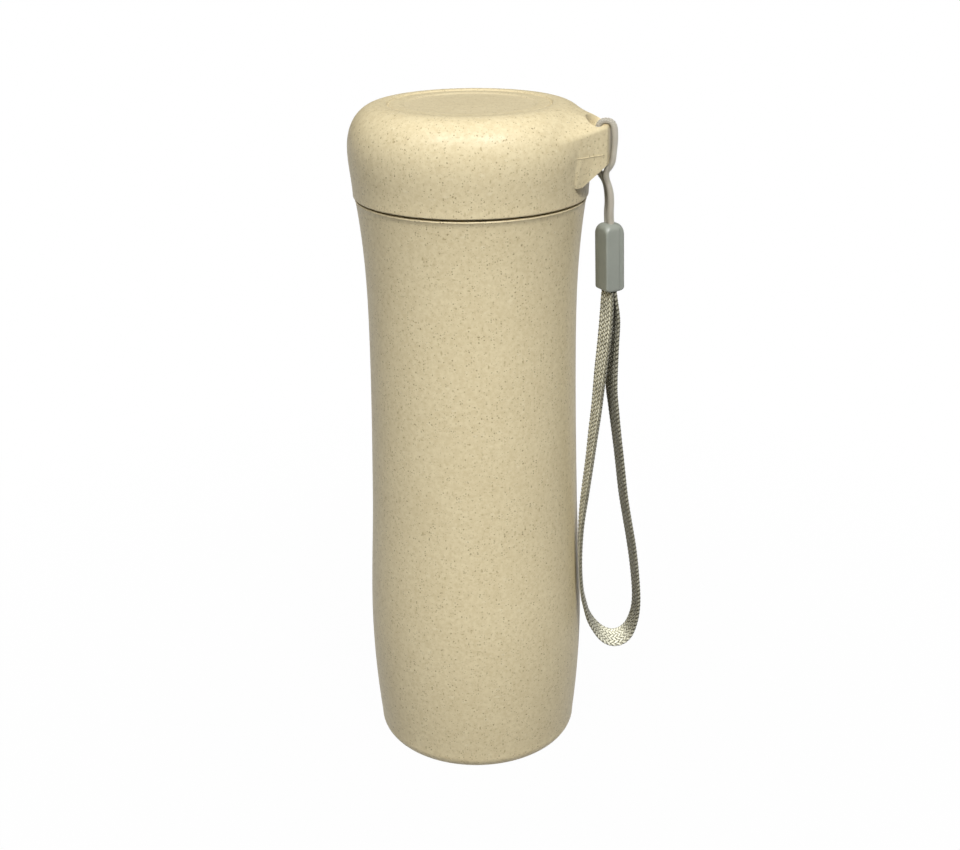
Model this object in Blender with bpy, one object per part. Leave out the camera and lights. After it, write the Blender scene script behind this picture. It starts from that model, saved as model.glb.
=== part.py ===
"""Wheat straw tumbler: a waisted cup with a glass liner, a screw lid and a wrist strap.

The cup stands on Z = 0 with its axis on +Z, and the lug of the lid points along +X.
Sizes are in metres. Each piece takes its size from the pieces that it fits.
"""
import math

import bmesh
import bpy
from mathutils import Vector

MM = 0.001

# Clearances
GAP = 0.3 * MM  # between neighbouring pieces
SEAM = 0.5 * MM  # dark joint line between body and lid
THREAD_PLAY = 0.4 * MM  # radial play between the two threads
FLANK_PLAY = 0.32 * MM  # axial play between the thread flanks

# Outer shell, from its waist outwards
BODY_HEIGHT = 165.05 * MM
WAIST_RADIUS = 29.04 * MM
WAIST_DROP = 45.0 * MM  # below the rim
BASE_SWELL = 0.02 * MM  # the swells are added to the waist radius
BELLY_SWELL = 2.4 * MM
BELLY_HEIGHT = 35.0 * MM
FLANK_SWELL = 0.91 * MM  # halfway between belly and waist
SHOULDER_SWELL = 0.34 * MM
SHOULDER_DROP = 20.0 * MM
LID_OVERHANG = 0.5 * MM  # the lid's foot stands proud of the rim
BASE_FILLET = 4.1 * MM
RIM_ROUND = 0.5 * MM
SHELL_WALL = 1.55 * MM  # at the waist
FLOOR = 3.0 * MM
FLOOR_FILLET = 3.0 * MM
FOOT_GROOVE_RADIUS = 20.0 * MM
FOOT_GROOVE_WIDTH = 2.0 * MM
FOOT_GROOVE_DEPTH = 0.6 * MM

# Neck collar, with the outside thread
NECK_HEIGHT = 9.55 * MM
COLLAR_FLANGE = 2.5 * MM  # width of the flange that seats in the shell's rim
COLLAR_FLANGE_THICKNESS = 1.55 * MM
COLLAR_SKIRT = 12.0 * MM
COLLAR_SKIRT_WALL = 1.3 * MM
COLLAR_LIP_WALL = 1.0 * MM  # outside the neck ring
COLLAR_LEDGE = 0.9 * MM  # under the neck ring

# Screw thread, one start, right-handed
THREAD_LEAD = 5.0 * MM
THREAD_DEPTH = 1.1 * MM
THREAD_ROOT_WIDTH = 2.2 * MM
THREAD_CREST_WIDTH = 1.0 * MM
THREAD_MARGIN = 0.9 * MM  # plain neck above and below the thread
THREAD_FADE = 24.0  # degrees over which each end runs out

# Glass liner, its ring and its cushion
GLASS_WALL = 1.8 * MM
GLASS_BASE = 4.0 * MM
GLASS_CORNER = 5.0 * MM
GLASS_PLAY = 0.5 * MM
GLASS_PROUD = 0.6 * MM  # the rim stands above the collar
GLASS_SHOULDER = 5.0 * MM
NECK_RING_THICKNESS = 1.3 * MM
NECK_RING_HEIGHT = 3.0 * MM
CUSHION_THICKNESS = 3.0 * MM
CUSHION_LIP = 4.0 * MM
CUSHION_LIP_WALL = 1.2 * MM

# Lid: cover, threaded insert and seal
LID_HEIGHT = 24.25 * MM
LID_BULGE = 1.0 * MM  # the widest place beyond the foot
LID_BULGE_HEIGHT = 12.45 * MM
LID_SKIRT_WALL = 1.3 * MM
LID_CROWN_POWER = 2.2  # of the superellipse that rounds the lid's shoulder
LID_TOP_WALL = 1.7 * MM
DISH_RADIUS = 23.3 * MM
DISH_FLOOR_RADIUS = 18.4 * MM
DISH_DEPTH = 1.0 * MM
DISH_GROOVE = 0.25 * MM
SNAP_LIP = 0.5 * MM
SNAP_LIP_HEIGHT = 0.6 * MM
WELD_RING_RADIUS = 16.0 * MM
WELD_RING_WALL = 1.4 * MM
INSERT_WALL = 1.5 * MM
INSERT_PLATE = 1.6 * MM
INSERT_RIBS = 6
INSERT_RIB_HEIGHT = 2.6 * MM
INSERT_RIB_THICKNESS = 1.2 * MM
PLUG_WALL = 1.3 * MM
PLUG_CLEARANCE = 1.2 * MM  # to the inside of the mouth
PLUG_DEPTH = 3.2 * MM
SEAL_THICKNESS = 1.8 * MM
SEAL_BEAD = 0.5 * MM  # bead that keeps the seal in the insert

# Lug on the lid, and the hole through it
LUG_REACH = 4.85 * MM  # beyond the lid's widest place
LUG_HALF_WIDTH = 4.0 * MM
LUG_CORNER = 0.7 * MM
LUG_START = 4.5 * MM  # where the underside leaves the skirt, above the lid's foot
LUG_END_LOW = 9.9 * MM  # lowest point of the end face, above the lid's foot
LUG_END_TOP = 5.2 * MM  # highest point of the end face, below the lid's top
LUG_TOP_RADIUS = 27.4 * MM  # where the top slope leaves the lid
LUG_BEVEL = 0.6 * MM
LUG_WEB = 2.1 * MM  # between the hole and the end face
HOLE_LENGTH = 3.0 * MM
HOLE_WIDTH = 2.4 * MM
MOUTH_RADIUS = 2.3 * MM  # round dip at the top of the hole
MOUTH_DROP = 1.2 * MM  # its floor below the top of the end face
CHANNEL_WIDTH = 2.3 * MM  # for the cord, from the mouth out over the end face
CHANNEL_DROP = 0.25 * MM

# Cord, clip and strap
CORD_DIAMETER = 1.6 * MM
STRAP_WIDTH = 5.8 * MM
STRAP_THICKNESS = 1.0 * MM
STRAP_SQUEEZE = 1.0 * MM  # narrower inside the clip
CLIP_HEIGHT = 18.4 * MM
CLIP_WALL = 0.4 * MM
CLIP_FRONT_WALL = 1.25 * MM
CLIP_COVER = 1.0 * MM
CLIP_CORNER = 2.0 * MM
CLIP_FOOT_CORNER = 0.7 * MM
CLIP_EDGE = 0.4 * MM
CLIP_OUT = 0.15 * MM  # from the lug's end face outwards
CLIP_DROP = 16.3 * MM  # from the lug's end face down to the clip's top
STRAP_POCKET = 11.0 * MM
CORD_POCKET = 5.8 * MM
LOOP_TURN = 15.0  # degrees from the lug's plane to the plane of the hanging loop
CLIP_TURN = -64.0  # degrees from the loop's plane to the clip's broad side
CLIP_LEAN = 1.6  # degrees that the clip's foot hangs outwards

# Facets
SHELL_SEGMENTS = 64
NECK_SEGMENTS = 54
SMALL_SEGMENTS = 40

# Radii, from the waist of the shell inwards and then outwards through the thread
core_radius = WAIST_RADIUS - SHELL_WALL
neck_radius = core_radius - GAP
glass_radius = neck_radius - COLLAR_SKIRT_WALL - GLASS_PLAY
ring_outer = neck_radius - COLLAR_LIP_WALL - GAP
ring_inner = ring_outer - NECK_RING_THICKNESS
mouth_outer = ring_inner - GAP
mouth_radius = mouth_outer - GLASS_WALL
thread_crest = neck_radius + THREAD_DEPTH
insert_inner = thread_crest + THREAD_PLAY
insert_outer = insert_inner + INSERT_WALL
cover_inner = insert_outer + GAP
foot_radius = cover_inner + LID_SKIRT_WALL
bulge_radius = foot_radius + LID_BULGE
rim_radius = foot_radius - LID_OVERHANG

# Heights
neck_top = BODY_HEIGHT + NECK_HEIGHT
glass_bottom = FLOOR + GAP + CUSHION_THICKNESS + GAP
glass_top = neck_top + GLASS_PROUD
lid_foot = BODY_HEIGHT + SEAM
lid_top = lid_foot + LID_HEIGHT
insert_foot = lid_foot + SNAP_LIP_HEIGHT + GAP
seal_bottom = glass_top + GAP
plate_bottom = seal_bottom + SEAL_THICKNESS + GAP
plate_top = plate_bottom + INSERT_PLATE
dish_floor = lid_top - DISH_DEPTH
roof = dish_floor - LID_TOP_WALL

# Places on the lug and below it
lug_end = bulge_radius + LUG_REACH
lug_low = lid_foot + LUG_END_LOW
lug_high = lid_top - LUG_END_TOP
hole_x = lug_end - LUG_WEB - HOLE_LENGTH / 2
clip_x = lug_end + CLIP_OUT
clip_top = lug_low - CLIP_DROP
clip_bottom = clip_top - CLIP_HEIGHT


def make_material(name, color, roughness, alpha=1.0, transmission=0.0):
    material = bpy.data.materials.new(name)
    material.use_nodes = True
    shader = material.node_tree.nodes["Principled BSDF"]
    shader.inputs["Base Color"].default_value = (*color, 1.0)
    shader.inputs["Roughness"].default_value = roughness
    shader.inputs["Metallic"].default_value = 0.0
    shader.inputs["Alpha"].default_value = alpha
    shader.inputs["Transmission Weight"].default_value = transmission
    material.diffuse_color = (*color, alpha)
    return material


def add_object(name, mesh, material):
    mesh.materials.append(material)
    piece = bpy.data.objects.new(name, mesh)
    bpy.context.scene.collection.objects.link(piece)
    return piece


def finish_mesh(name, bm, material, sharp_angle=35.0):
    bmesh.ops.remove_doubles(bm, verts=bm.verts, dist=1e-7)
    bmesh.ops.recalc_face_normals(bm, faces=bm.faces)
    mesh = bpy.data.meshes.new(name)
    bm.to_mesh(mesh)
    bm.free()
    mesh.shade_smooth()
    mesh.set_sharp_from_angle(angle=math.radians(sharp_angle))
    return add_object(name, mesh, material)


def arc(center_r, center_z, radius, start, end, steps):
    """Points of an arc in the (radius, height) plane; the angles are in degrees."""
    points = []
    for k in range(steps + 1):
        angle = math.radians(start + (end - start) * k / steps)
        points.append((center_r + radius * math.cos(angle), center_z + radius * math.sin(angle)))
    return points


def turned(name, section, segments, material):
    """Spin a section of (radius, height) points; it closes on itself or on the axis."""
    bm = bmesh.new()
    verts = [bm.verts.new((r, 0.0, z)) for r, z in section]
    on_axis = section[0][0] == 0.0 and section[-1][0] == 0.0
    ends = verts[1:] if on_axis else verts[1:] + verts[:1]
    edges = [bm.edges.new(pair) for pair in zip(verts, ends)]
    bmesh.ops.spin(
        bm, geom=verts + edges, cent=(0, 0, 0), axis=(0, 0, 1), angle=2 * math.pi,
        steps=segments, use_merge=True)
    return finish_mesh(name, bm, material)


def loft(name, rings, material, sharp_angle=35.0, closed_ends=False):
    """Skin a row of point rings; a ring of one point is a pole."""
    bm = bmesh.new()
    rows = [[bm.verts.new(point) for point in ring] for ring in rings]
    for low, high in zip(rows, rows[1:]):
        count = max(len(low), len(high))
        for k in range(count):
            j = (k + 1) % count
            if len(low) == 1:
                bm.faces.new((low[0], high[k], high[j]))
            elif len(high) == 1:
                bm.faces.new((low[k], low[j], high[0]))
            else:
                bm.faces.new((low[k], low[j], high[j], high[k]))
    if closed_ends:
        bm.faces.new(rows[0])
        bm.faces.new(rows[-1])
    return finish_mesh(name, bm, material, sharp_angle)


def hidden_tool(piece):
    """Mark a helper shape that only cuts or adds to another piece."""
    piece.hide_render = True
    piece.display_type = "WIRE"
    return piece


def add_boolean(piece, tool, operation):
    modifier = piece.modifiers.new(tool.name, "BOOLEAN")
    modifier.operation = operation
    modifier.object = hidden_tool(tool)
    modifier.solver = "EXACT"


def slopes(knots):
    """Slope at each (height, value) knot, from its neighbours."""
    result = []
    for k in range(1, len(knots) - 1):
        rise = knots[k + 1][1] - knots[k - 1][1]
        result.append(rise / (knots[k + 1][0] - knots[k - 1][0]))
    first = (knots[1][1] - knots[0][1]) / (knots[1][0] - knots[0][0])
    last = (knots[-1][1] - knots[-2][1]) / (knots[-1][0] - knots[-2][0])
    return [2 * first - result[0], *result, 2 * last - result[-1]]


def hermite(knots, tangents, place):
    """Value at a place on the smooth curve through the knots."""
    k = 0
    while k < len(knots) - 2 and place > knots[k + 1][0]:
        k += 1
    span = knots[k + 1][0] - knots[k][0]
    t = (place - knots[k][0]) / span
    near = (1 + 2 * t) * (1 - t) ** 2 * knots[k][1] + t * (1 - t) ** 2 * span * tangents[k]
    far = t * t * (3 - 2 * t) * knots[k + 1][1] - t * t * (1 - t) * span * tangents[k + 1]
    return near + far


def smooth_path(points, spacing):
    """Points at an even spacing on the smooth curve through the route's points."""
    lengths = [0.0]
    for a, b in zip(points, points[1:]):
        lengths.append(lengths[-1] + (b - a).length)
    axes = []
    for axis in range(3):
        knots = [(s, p[axis]) for s, p in zip(lengths, points)]
        axes.append((knots, slopes(knots)))
    count = max(2, round(lengths[-1] / spacing))
    path = []
    for k in range(count + 1):
        place = lengths[-1] * k / count
        path.append(Vector([hermite(knots, tangents, place) for knots, tangents in axes]))
    return path


def shell_radius(height):
    waist_height = BODY_HEIGHT - WAIST_DROP
    knots = [
        (0.0, WAIST_RADIUS + BASE_SWELL),
        (BELLY_HEIGHT, WAIST_RADIUS + BELLY_SWELL),
        ((BELLY_HEIGHT + waist_height) / 2, WAIST_RADIUS + FLANK_SWELL),
        (waist_height, WAIST_RADIUS),
        (BODY_HEIGHT - SHOULDER_DROP, WAIST_RADIUS + SHOULDER_SWELL),
        (BODY_HEIGHT, rim_radius),
    ]
    return hermite(knots, slopes(knots), height)


def make_outer_shell(material):
    seat_radius = neck_radius + COLLAR_FLANGE + GAP
    seat_height = BODY_HEIGHT - COLLAR_FLANGE_THICKNESS - GAP
    groove_in = FOOT_GROOVE_RADIUS - FOOT_GROOVE_WIDTH / 2
    groove_out = FOOT_GROOVE_RADIUS + FOOT_GROOVE_WIDTH / 2
    section = [
        (0.0, 0.0),
        (groove_in, 0.0),
        (FOOT_GROOVE_RADIUS, FOOT_GROOVE_DEPTH),
        (groove_out, 0.0),
    ]
    fillet_radius = shell_radius(BASE_FILLET) - BASE_FILLET
    section += arc(fillet_radius, BASE_FILLET, BASE_FILLET, -90, 0, 5)
    steps = 13
    top = BODY_HEIGHT - RIM_ROUND
    for k in range(1, steps + 1):
        height = BASE_FILLET + (top - BASE_FILLET) * k / steps
        section.append((shell_radius(height), height))
    section += arc(rim_radius - RIM_ROUND, top, RIM_ROUND, 30, 90, 2)
    section += [(seat_radius, BODY_HEIGHT), (seat_radius, seat_height), (core_radius, seat_height)]
    section += arc(core_radius - FLOOR_FILLET, FLOOR + FLOOR_FILLET, FLOOR_FILLET, 0, -90, 3)
    section.append((0.0, FLOOR))
    return turned("outer_shell", section, SHELL_SEGMENTS, material)


def make_base_cushion(material):
    low = FLOOR + GAP
    floor_top = low + CUSHION_THICKNESS
    lip_outer = glass_radius + GAP + CUSHION_LIP_WALL
    section = [
        (0.0, low),
        (lip_outer - FLOOR_FILLET, low),
        (lip_outer, low + FLOOR_FILLET),
        (lip_outer, floor_top + CUSHION_LIP),
        (glass_radius + GAP, floor_top + CUSHION_LIP),
        (glass_radius + GAP, floor_top + GLASS_CORNER / 2),
        (glass_radius - GLASS_CORNER / 2, floor_top),
        (0.0, floor_top),
    ]
    return turned("base_cushion", section, SMALL_SEGMENTS, material)


def make_glass_liner(material):
    inner_radius = glass_radius - GLASS_WALL
    inner_corner = GLASS_CORNER - GLASS_WALL
    inner_floor = glass_bottom + GLASS_BASE
    shoulder_top = BODY_HEIGHT - COLLAR_FLANGE_THICKNESS
    shoulder_low = shoulder_top - GLASS_SHOULDER
    lip = GLASS_WALL / 2
    section = [(0.0, glass_bottom)]
    section += arc(glass_radius - GLASS_CORNER, glass_bottom + GLASS_CORNER, GLASS_CORNER, -90, 0, 4)
    section += [(glass_radius, shoulder_low), (mouth_outer, shoulder_top)]
    section += arc(mouth_radius + lip, glass_top - lip, lip, 0, 180, 6)
    section += [(mouth_radius, shoulder_top), (inner_radius, shoulder_low)]
    section += arc(inner_radius - inner_corner, inner_floor + inner_corner, inner_corner, 0, -90, 3)
    section.append((0.0, inner_floor))
    return turned("glass_liner", section, NECK_SEGMENTS, material)


def thread_ridge(name, root, inward, low, start, end, material):
    """Helical ridge on a wall; its middle is at the height low at angle zero."""
    side = -1.0 if inward else 1.0
    bury = 0.4 * MM
    step = 360.0 / NECK_SEGMENTS
    count = round((end - start) / step)
    rings = []
    for k in range(count + 1):
        degrees = start + (end - start) * k / count
        fade = min(1.0, (degrees - start) / THREAD_FADE, (end - degrees) / THREAD_FADE)
        depth = THREAD_DEPTH * max(fade, 0.05)
        crest = THREAD_CREST_WIDTH / 2 * max(fade, 0.2)
        slant = (THREAD_ROOT_WIDTH - THREAD_CREST_WIDTH) / 2
        foot = crest + slant
        deep = foot + slant * bury / THREAD_DEPTH
        middle = low + THREAD_LEAD * degrees / 360.0
        angle = math.radians(degrees)
        ring = []
        for radius, height in (
                (root - side * bury, -deep), (root + side * depth, -crest),
                (root + side * depth, crest), (root - side * bury, deep)):
            place = (radius * math.cos(angle), radius * math.sin(angle), middle + height)
            ring.append(Vector(place))
        rings.append(ring)
    return loft(name, rings, material, closed_ends=True)


def male_thread():
    """Height of the neck's thread at angle zero, and the angle where it ends."""
    low = BODY_HEIGHT + THREAD_MARGIN + THREAD_ROOT_WIDTH / 2
    high = neck_top - THREAD_MARGIN - THREAD_ROOT_WIDTH / 2
    return low, 360.0 * (high - low) / THREAD_LEAD


def make_neck_collar(material):
    skirt_inner = neck_radius - COLLAR_SKIRT_WALL
    flange_bottom = BODY_HEIGHT - COLLAR_FLANGE_THICKNESS
    ledge_radius = mouth_outer + GAP
    ring_seat = neck_top - NECK_RING_HEIGHT - GAP
    chamfer = 0.5 * MM
    section = [
        (skirt_inner, flange_bottom - COLLAR_SKIRT),
        (neck_radius, flange_bottom - COLLAR_SKIRT),
        (neck_radius, flange_bottom),
        (neck_radius + COLLAR_FLANGE, flange_bottom),
        (neck_radius + COLLAR_FLANGE, BODY_HEIGHT),
        (neck_radius, BODY_HEIGHT),
        (neck_radius, neck_top - chamfer),
        (neck_radius - chamfer, neck_top),
        (ring_outer + GAP, neck_top),
        (ring_outer + GAP, ring_seat),
        (ledge_radius, ring_seat),
        (ledge_radius, ring_seat - COLLAR_LEDGE),
        (skirt_inner, ring_seat - COLLAR_LEDGE - (skirt_inner - ledge_radius)),
    ]
    collar = turned("neck_collar", section, NECK_SEGMENTS, material)
    low, end = male_thread()
    ridge = thread_ridge("neck_thread_tool", neck_radius, False, low, 0.0, end, material)
    add_boolean(collar, ridge, "UNION")
    return collar


def make_neck_ring(material):
    low = neck_top - NECK_RING_HEIGHT
    high = neck_top + GLASS_PROUD / 2
    chamfer = 0.3 * MM
    section = [
        (ring_inner, low),
        (ring_outer, low),
        (ring_outer, high - chamfer),
        (ring_outer - chamfer, high),
        (ring_inner + chamfer, high),
        (ring_inner, high - chamfer),
    ]
    return turned("neck_ring", section, SMALL_SEGMENTS, material)


def lid_radius(height):
    """Outside of the lid below its widest place."""
    start = lid_foot
    share = min(1.0, max(0.0, (height - start) / LID_BULGE_HEIGHT))
    return foot_radius + LID_BULGE * share * share * (3 - 2 * share)


def crown_point(degrees):
    """Point of the lid's rounded shoulder: 0 at the widest place, 90 at the dish."""
    power = 2.0 / LID_CROWN_POWER
    angle = math.radians(degrees)
    wide = bulge_radius - DISH_RADIUS
    tall = LID_HEIGHT - LID_BULGE_HEIGHT
    radius = DISH_RADIUS + wide * max(0.0, math.cos(angle)) ** power
    height = lid_foot + LID_BULGE_HEIGHT + tall * math.sin(angle) ** power
    return radius, height


def lug_outline(angle, radius, tip):
    """Polar radius of the hull round the lid's circle and the lug's square end."""
    inner_x = tip - LUG_CORNER
    inner_y = LUG_HALF_WIDTH - LUG_CORNER
    reach = math.hypot(inner_x, inner_y)
    if reach <= radius - LUG_CORNER or tip <= radius:
        return radius
    bearing = abs(angle)
    tangent = math.atan2(inner_y, inner_x) + math.acos((radius - LUG_CORNER) / reach)
    if bearing >= tangent:
        return radius
    if bearing <= math.atan2(inner_y, tip):
        return tip / math.cos(bearing)
    corner_x = inner_x + LUG_CORNER * math.cos(tangent)
    corner_y = inner_y + LUG_CORNER * math.sin(tangent)
    if bearing >= math.atan2(corner_y, corner_x):
        return radius / math.cos(tangent - bearing)
    along = inner_x * math.cos(bearing) + inner_y * math.sin(bearing)
    across = inner_x * math.sin(bearing) - inner_y * math.cos(bearing)
    return along + math.sqrt(LUG_CORNER ** 2 - across ** 2)


def lid_bearings():
    """Angles of the cover's points: close together round the lug, wide elsewhere."""
    corner = math.degrees(math.atan2(LUG_HALF_WIDTH, lug_end))
    flank = 36.0
    near = [0.0, 0.4, 0.7, 0.85, 1.0, 1.18]
    half = [corner * share for share in near]
    flank_steps = 8
    start = half[-1]
    for k in range(1, flank_steps + 1):
        half.append(start + (flank - start) * (k / flank_steps) ** 1.3)
    back_steps = 38
    back = [flank + (360 - 2 * flank) * k / back_steps for k in range(1, back_steps)]
    left = [360 - bearing for bearing in reversed(half[1:])]
    return [math.radians(bearing) for bearing in half + back + left]


def lid_ring(bearings, radius, height, tip=None, tip_height=None):
    """Ring of the cover's outside, drawn out to the lug where a tip is given."""
    ring = []
    for bearing in bearings:
        signed = bearing if bearing <= math.pi else bearing - 2 * math.pi
        reach = lug_outline(signed, radius, tip) if tip else radius
        rise = 0.0
        if reach > radius:
            share = min(1.0, (reach - radius) / (tip - radius))
            rise = (tip_height - height) * share ** 0.7
        ring.append(Vector((reach * math.cos(bearing), reach * math.sin(bearing), height + rise)))
    return ring


def cover_outside(bearings):
    """Rings of the cover from its foot over the lug to the middle of the dish."""
    edge = 0.4 * MM
    rings = [
        lid_ring(bearings, foot_radius - edge, lid_foot),
        lid_ring(bearings, foot_radius, lid_foot + edge),
    ]
    low = lid_foot + LUG_START
    flank_low = lug_low - 0.6 * MM
    under_steps = 4
    for k in range(under_steps + 1):
        share = k / under_steps
        height = low + (flank_low - low) * share
        tip = lid_radius(low) + (lug_end - lid_radius(low)) * share
        rings.append(lid_ring(bearings, lid_radius(height), height, tip, low + (lug_low - low) * share))
    crown_start = 21.0
    flank_high = crown_point(crown_start)[1]
    end_steps = 3
    for k in range(1, end_steps + 1):
        share = k / end_steps
        height = flank_low + (flank_high - flank_low) * share
        radius = lid_radius(height)
        if height > lid_foot + LID_BULGE_HEIGHT:
            radius = crown_radius(height)
        rings.append(lid_ring(bearings, radius, height, lug_end, lug_low + (lug_high - lug_low) * share))
    crown_end = crown_bearing(LUG_TOP_RADIUS)
    leave_radius, leave_height = crown_point(crown_end)
    slope_radius = lug_end - LUG_BEVEL
    slope_height = lug_high + LUG_BEVEL
    top_steps = 6
    for k in range(1, top_steps + 1):
        radius, height = crown_point(crown_start + (crown_end - crown_start) * k / top_steps)
        share = (k - 1) / (top_steps - 1)
        tip = slope_radius + (leave_radius - slope_radius) * share
        tip_height = slope_height + (leave_height - slope_height) * share
        rings.append(lid_ring(bearings, radius, height, tip, tip_height))
    crown_steps = 3
    for k in range(1, crown_steps + 1):
        radius, height = crown_point(crown_end + (90.0 - crown_end) * k / crown_steps)
        rings.append(lid_ring(bearings, radius, height))
    rings.append(lid_ring(bearings, DISH_RADIUS - DISH_GROOVE, lid_top - DISH_GROOVE))
    slope_steps = 3
    for k in range(slope_steps + 1):
        share = k / slope_steps
        radius = DISH_RADIUS - 2 * DISH_GROOVE - (DISH_RADIUS - 2 * DISH_GROOVE - DISH_FLOOR_RADIUS) * share
        drop = DISH_GROOVE / 2 + (DISH_DEPTH - DISH_GROOVE / 2) * math.sin(share * math.pi / 2)
        rings.append(lid_ring(bearings, radius, lid_top - drop))
    rings.append([Vector((0.0, 0.0, dish_floor))])
    return rings


def crown_bearing(radius):
    """Place on the shoulder, in degrees, where it has the given radius."""
    share = (radius - DISH_RADIUS) / (bulge_radius - DISH_RADIUS)
    return math.degrees(math.acos(share ** (LID_CROWN_POWER / 2.0)))


def crown_radius(height):
    """Radius of the shoulder at a height above the widest place."""
    share = (height - lid_foot - LID_BULGE_HEIGHT) / (LID_HEIGHT - LID_BULGE_HEIGHT)
    wide = bulge_radius - DISH_RADIUS
    return DISH_RADIUS + wide * (1 - share ** LID_CROWN_POWER) ** (1 / LID_CROWN_POWER)


def cover_inside(bearings):
    """Rings of the cover from the middle of its roof, past the weld ring, down to its foot."""
    weld_out = WELD_RING_RADIUS + WELD_RING_WALL
    weld_foot = plate_top + GAP
    dome = 5.5 * MM
    section = [
        (WELD_RING_RADIUS, roof),
        (WELD_RING_RADIUS, weld_foot),
        (weld_out, weld_foot),
        (weld_out, roof),
    ]
    section += arc(cover_inner - dome, roof - dome, dome, 90, 0, 4)
    section += [
        (cover_inner, insert_foot),
        (cover_inner - SNAP_LIP, lid_foot + SNAP_LIP_HEIGHT),
        (cover_inner - SNAP_LIP, lid_foot),
    ]
    rings = [[Vector((0.0, 0.0, roof))]]
    rings += [lid_ring(bearings, radius, height) for radius, height in section]
    return rings


def make_lid_cover(material):
    bearings = lid_bearings()
    rings = cover_inside(bearings) + cover_outside(bearings)
    cover = loft("lid_cover", rings, material)
    add_boolean(cover, make_hole_tool(material), "DIFFERENCE")
    add_boolean(cover, make_mouth_tool(material), "DIFFERENCE")
    add_boolean(cover, make_channel_tool(material), "DIFFERENCE")
    return cover


def stadium(length, width, steps):
    """Outline of a slot with round ends, counter-clockwise, about the origin."""
    half = (length - width) / 2
    points = []
    for side in (1, -1):
        for k in range(steps + 1):
            angle = math.radians(-90 * side + 180 * side * k / steps) if side > 0 else 0.0
            if side < 0:
                angle = math.radians(90 + 180 * k / steps)
            points.append((side * half + width / 2 * math.cos(angle), width / 2 * math.sin(angle)))
    return points


def make_hole_tool(material):
    outline = stadium(HOLE_LENGTH, HOLE_WIDTH, 6)
    rings = []
    for height in (lid_foot, lid_top + CORD_DIAMETER):
        rings.append([Vector((hole_x + x, y, height)) for x, y in outline])
    return loft("lug_hole_tool", rings, material, closed_ends=True)


def make_mouth_tool(material):
    """Round dip in the lug, where the cord goes down into the hole."""
    center = hole_x + HOLE_LENGTH / 2 - MOUTH_RADIUS
    outline = arc(center, 0.0, MOUTH_RADIUS, 0, 360 - 360 / 20, 19)
    rings = []
    for height in (lug_high - MOUTH_DROP, lid_top):
        rings.append([Vector((x, y, height)) for x, y in outline])
    return loft("lug_mouth_tool", rings, material, closed_ends=True)


def make_channel_tool(material):
    """Round-bottomed channel from the mouth out over the end of the lug."""
    radius = CHANNEL_WIDTH / 2
    outline = [(-radius, 2 * radius)]
    outline += arc(0.0, radius, radius, 180, 360, 8)
    outline.append((radius, 2 * radius))
    rings = []
    for x in (hole_x, lug_end + CORD_DIAMETER):
        rings.append([Vector((x, y, lug_high - CHANNEL_DROP + up)) for y, up in outline])
    return loft("lug_channel_tool", rings, material, closed_ends=True)


def make_lid_insert(material):
    plug_outer = mouth_radius - PLUG_CLEARANCE
    plug_inner = plug_outer - PLUG_WALL
    bead_bottom = seal_bottom - GAP - 2 * SEAL_BEAD
    chamfer = 0.8 * MM
    section = [
        (0.0, plate_top),
        (insert_outer - chamfer, plate_top),
        (insert_outer, plate_top - chamfer),
        (insert_outer, insert_foot),
        (insert_inner, insert_foot),
        (insert_inner, bead_bottom),
        (insert_inner - SEAL_BEAD, bead_bottom + SEAL_BEAD),
        (insert_inner, bead_bottom + 2 * SEAL_BEAD),
        (insert_inner, plate_bottom),
        (plug_outer, plate_bottom),
        (plug_outer, plate_bottom - PLUG_DEPTH),
        (plug_inner, plate_bottom - PLUG_DEPTH),
        (plug_inner, plate_bottom),
        (0.0, plate_bottom),
    ]
    insert = turned("lid_insert", section, NECK_SEGMENTS, material)
    add_boolean(insert, make_female_thread(material), "UNION")
    add_boolean(insert, make_insert_ribs(material), "UNION")
    return insert


def make_female_thread(material):
    """The insert's ridge follows the neck's, just under it."""
    low, male_end = male_thread()
    contact = THREAD_ROOT_WIDTH - (THREAD_ROOT_WIDTH - THREAD_CREST_WIDTH) / 2 * (
        (THREAD_DEPTH + THREAD_PLAY) / THREAD_DEPTH)
    drop = contact + FLANK_PLAY
    lowest = insert_foot + THREAD_ROOT_WIDTH / 2 + 0.1 * MM
    start = 360.0 * (lowest + drop - low) / THREAD_LEAD
    end = male_end - THREAD_FADE / 2
    return thread_ridge("insert_thread_tool", insert_inner, True, low - drop, start, end, material)


def make_insert_ribs(material):
    """Radial stiffening ribs that stand on the insert's plate, outside the weld ring."""
    bm = bmesh.new()
    bury = 0.4 * MM
    inner = WELD_RING_RADIUS + WELD_RING_WALL + 1.0 * MM
    outer = insert_outer - 1.6 * MM
    crest = outer - INSERT_RIB_HEIGHT
    half = INSERT_RIB_THICKNESS / 2
    for k in range(INSERT_RIBS):
        angle = 2 * math.pi * k / INSERT_RIBS
        out = Vector((math.cos(angle), math.sin(angle), 0.0))
        aside = Vector((-math.sin(angle), math.cos(angle), 0.0))
        outline = [
            (inner, plate_top - bury),
            (outer, plate_top - bury),
            (crest, plate_top + INSERT_RIB_HEIGHT),
            (inner, plate_top + INSERT_RIB_HEIGHT),
        ]
        sides = []
        for side in (-half, half):
            side_verts = []
            for r, z in outline:
                side_verts.append(bm.verts.new(out * r + aside * side + Vector((0, 0, z))))
            sides.append(side_verts)
        bm.faces.new(sides[0])
        bm.faces.new(sides[1])
        for j in range(4):
            following = (j + 1) % 4
            bm.faces.new((sides[0][j], sides[0][following], sides[1][following], sides[1][j]))
    return finish_mesh("insert_rib_tool", bm, material)


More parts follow.
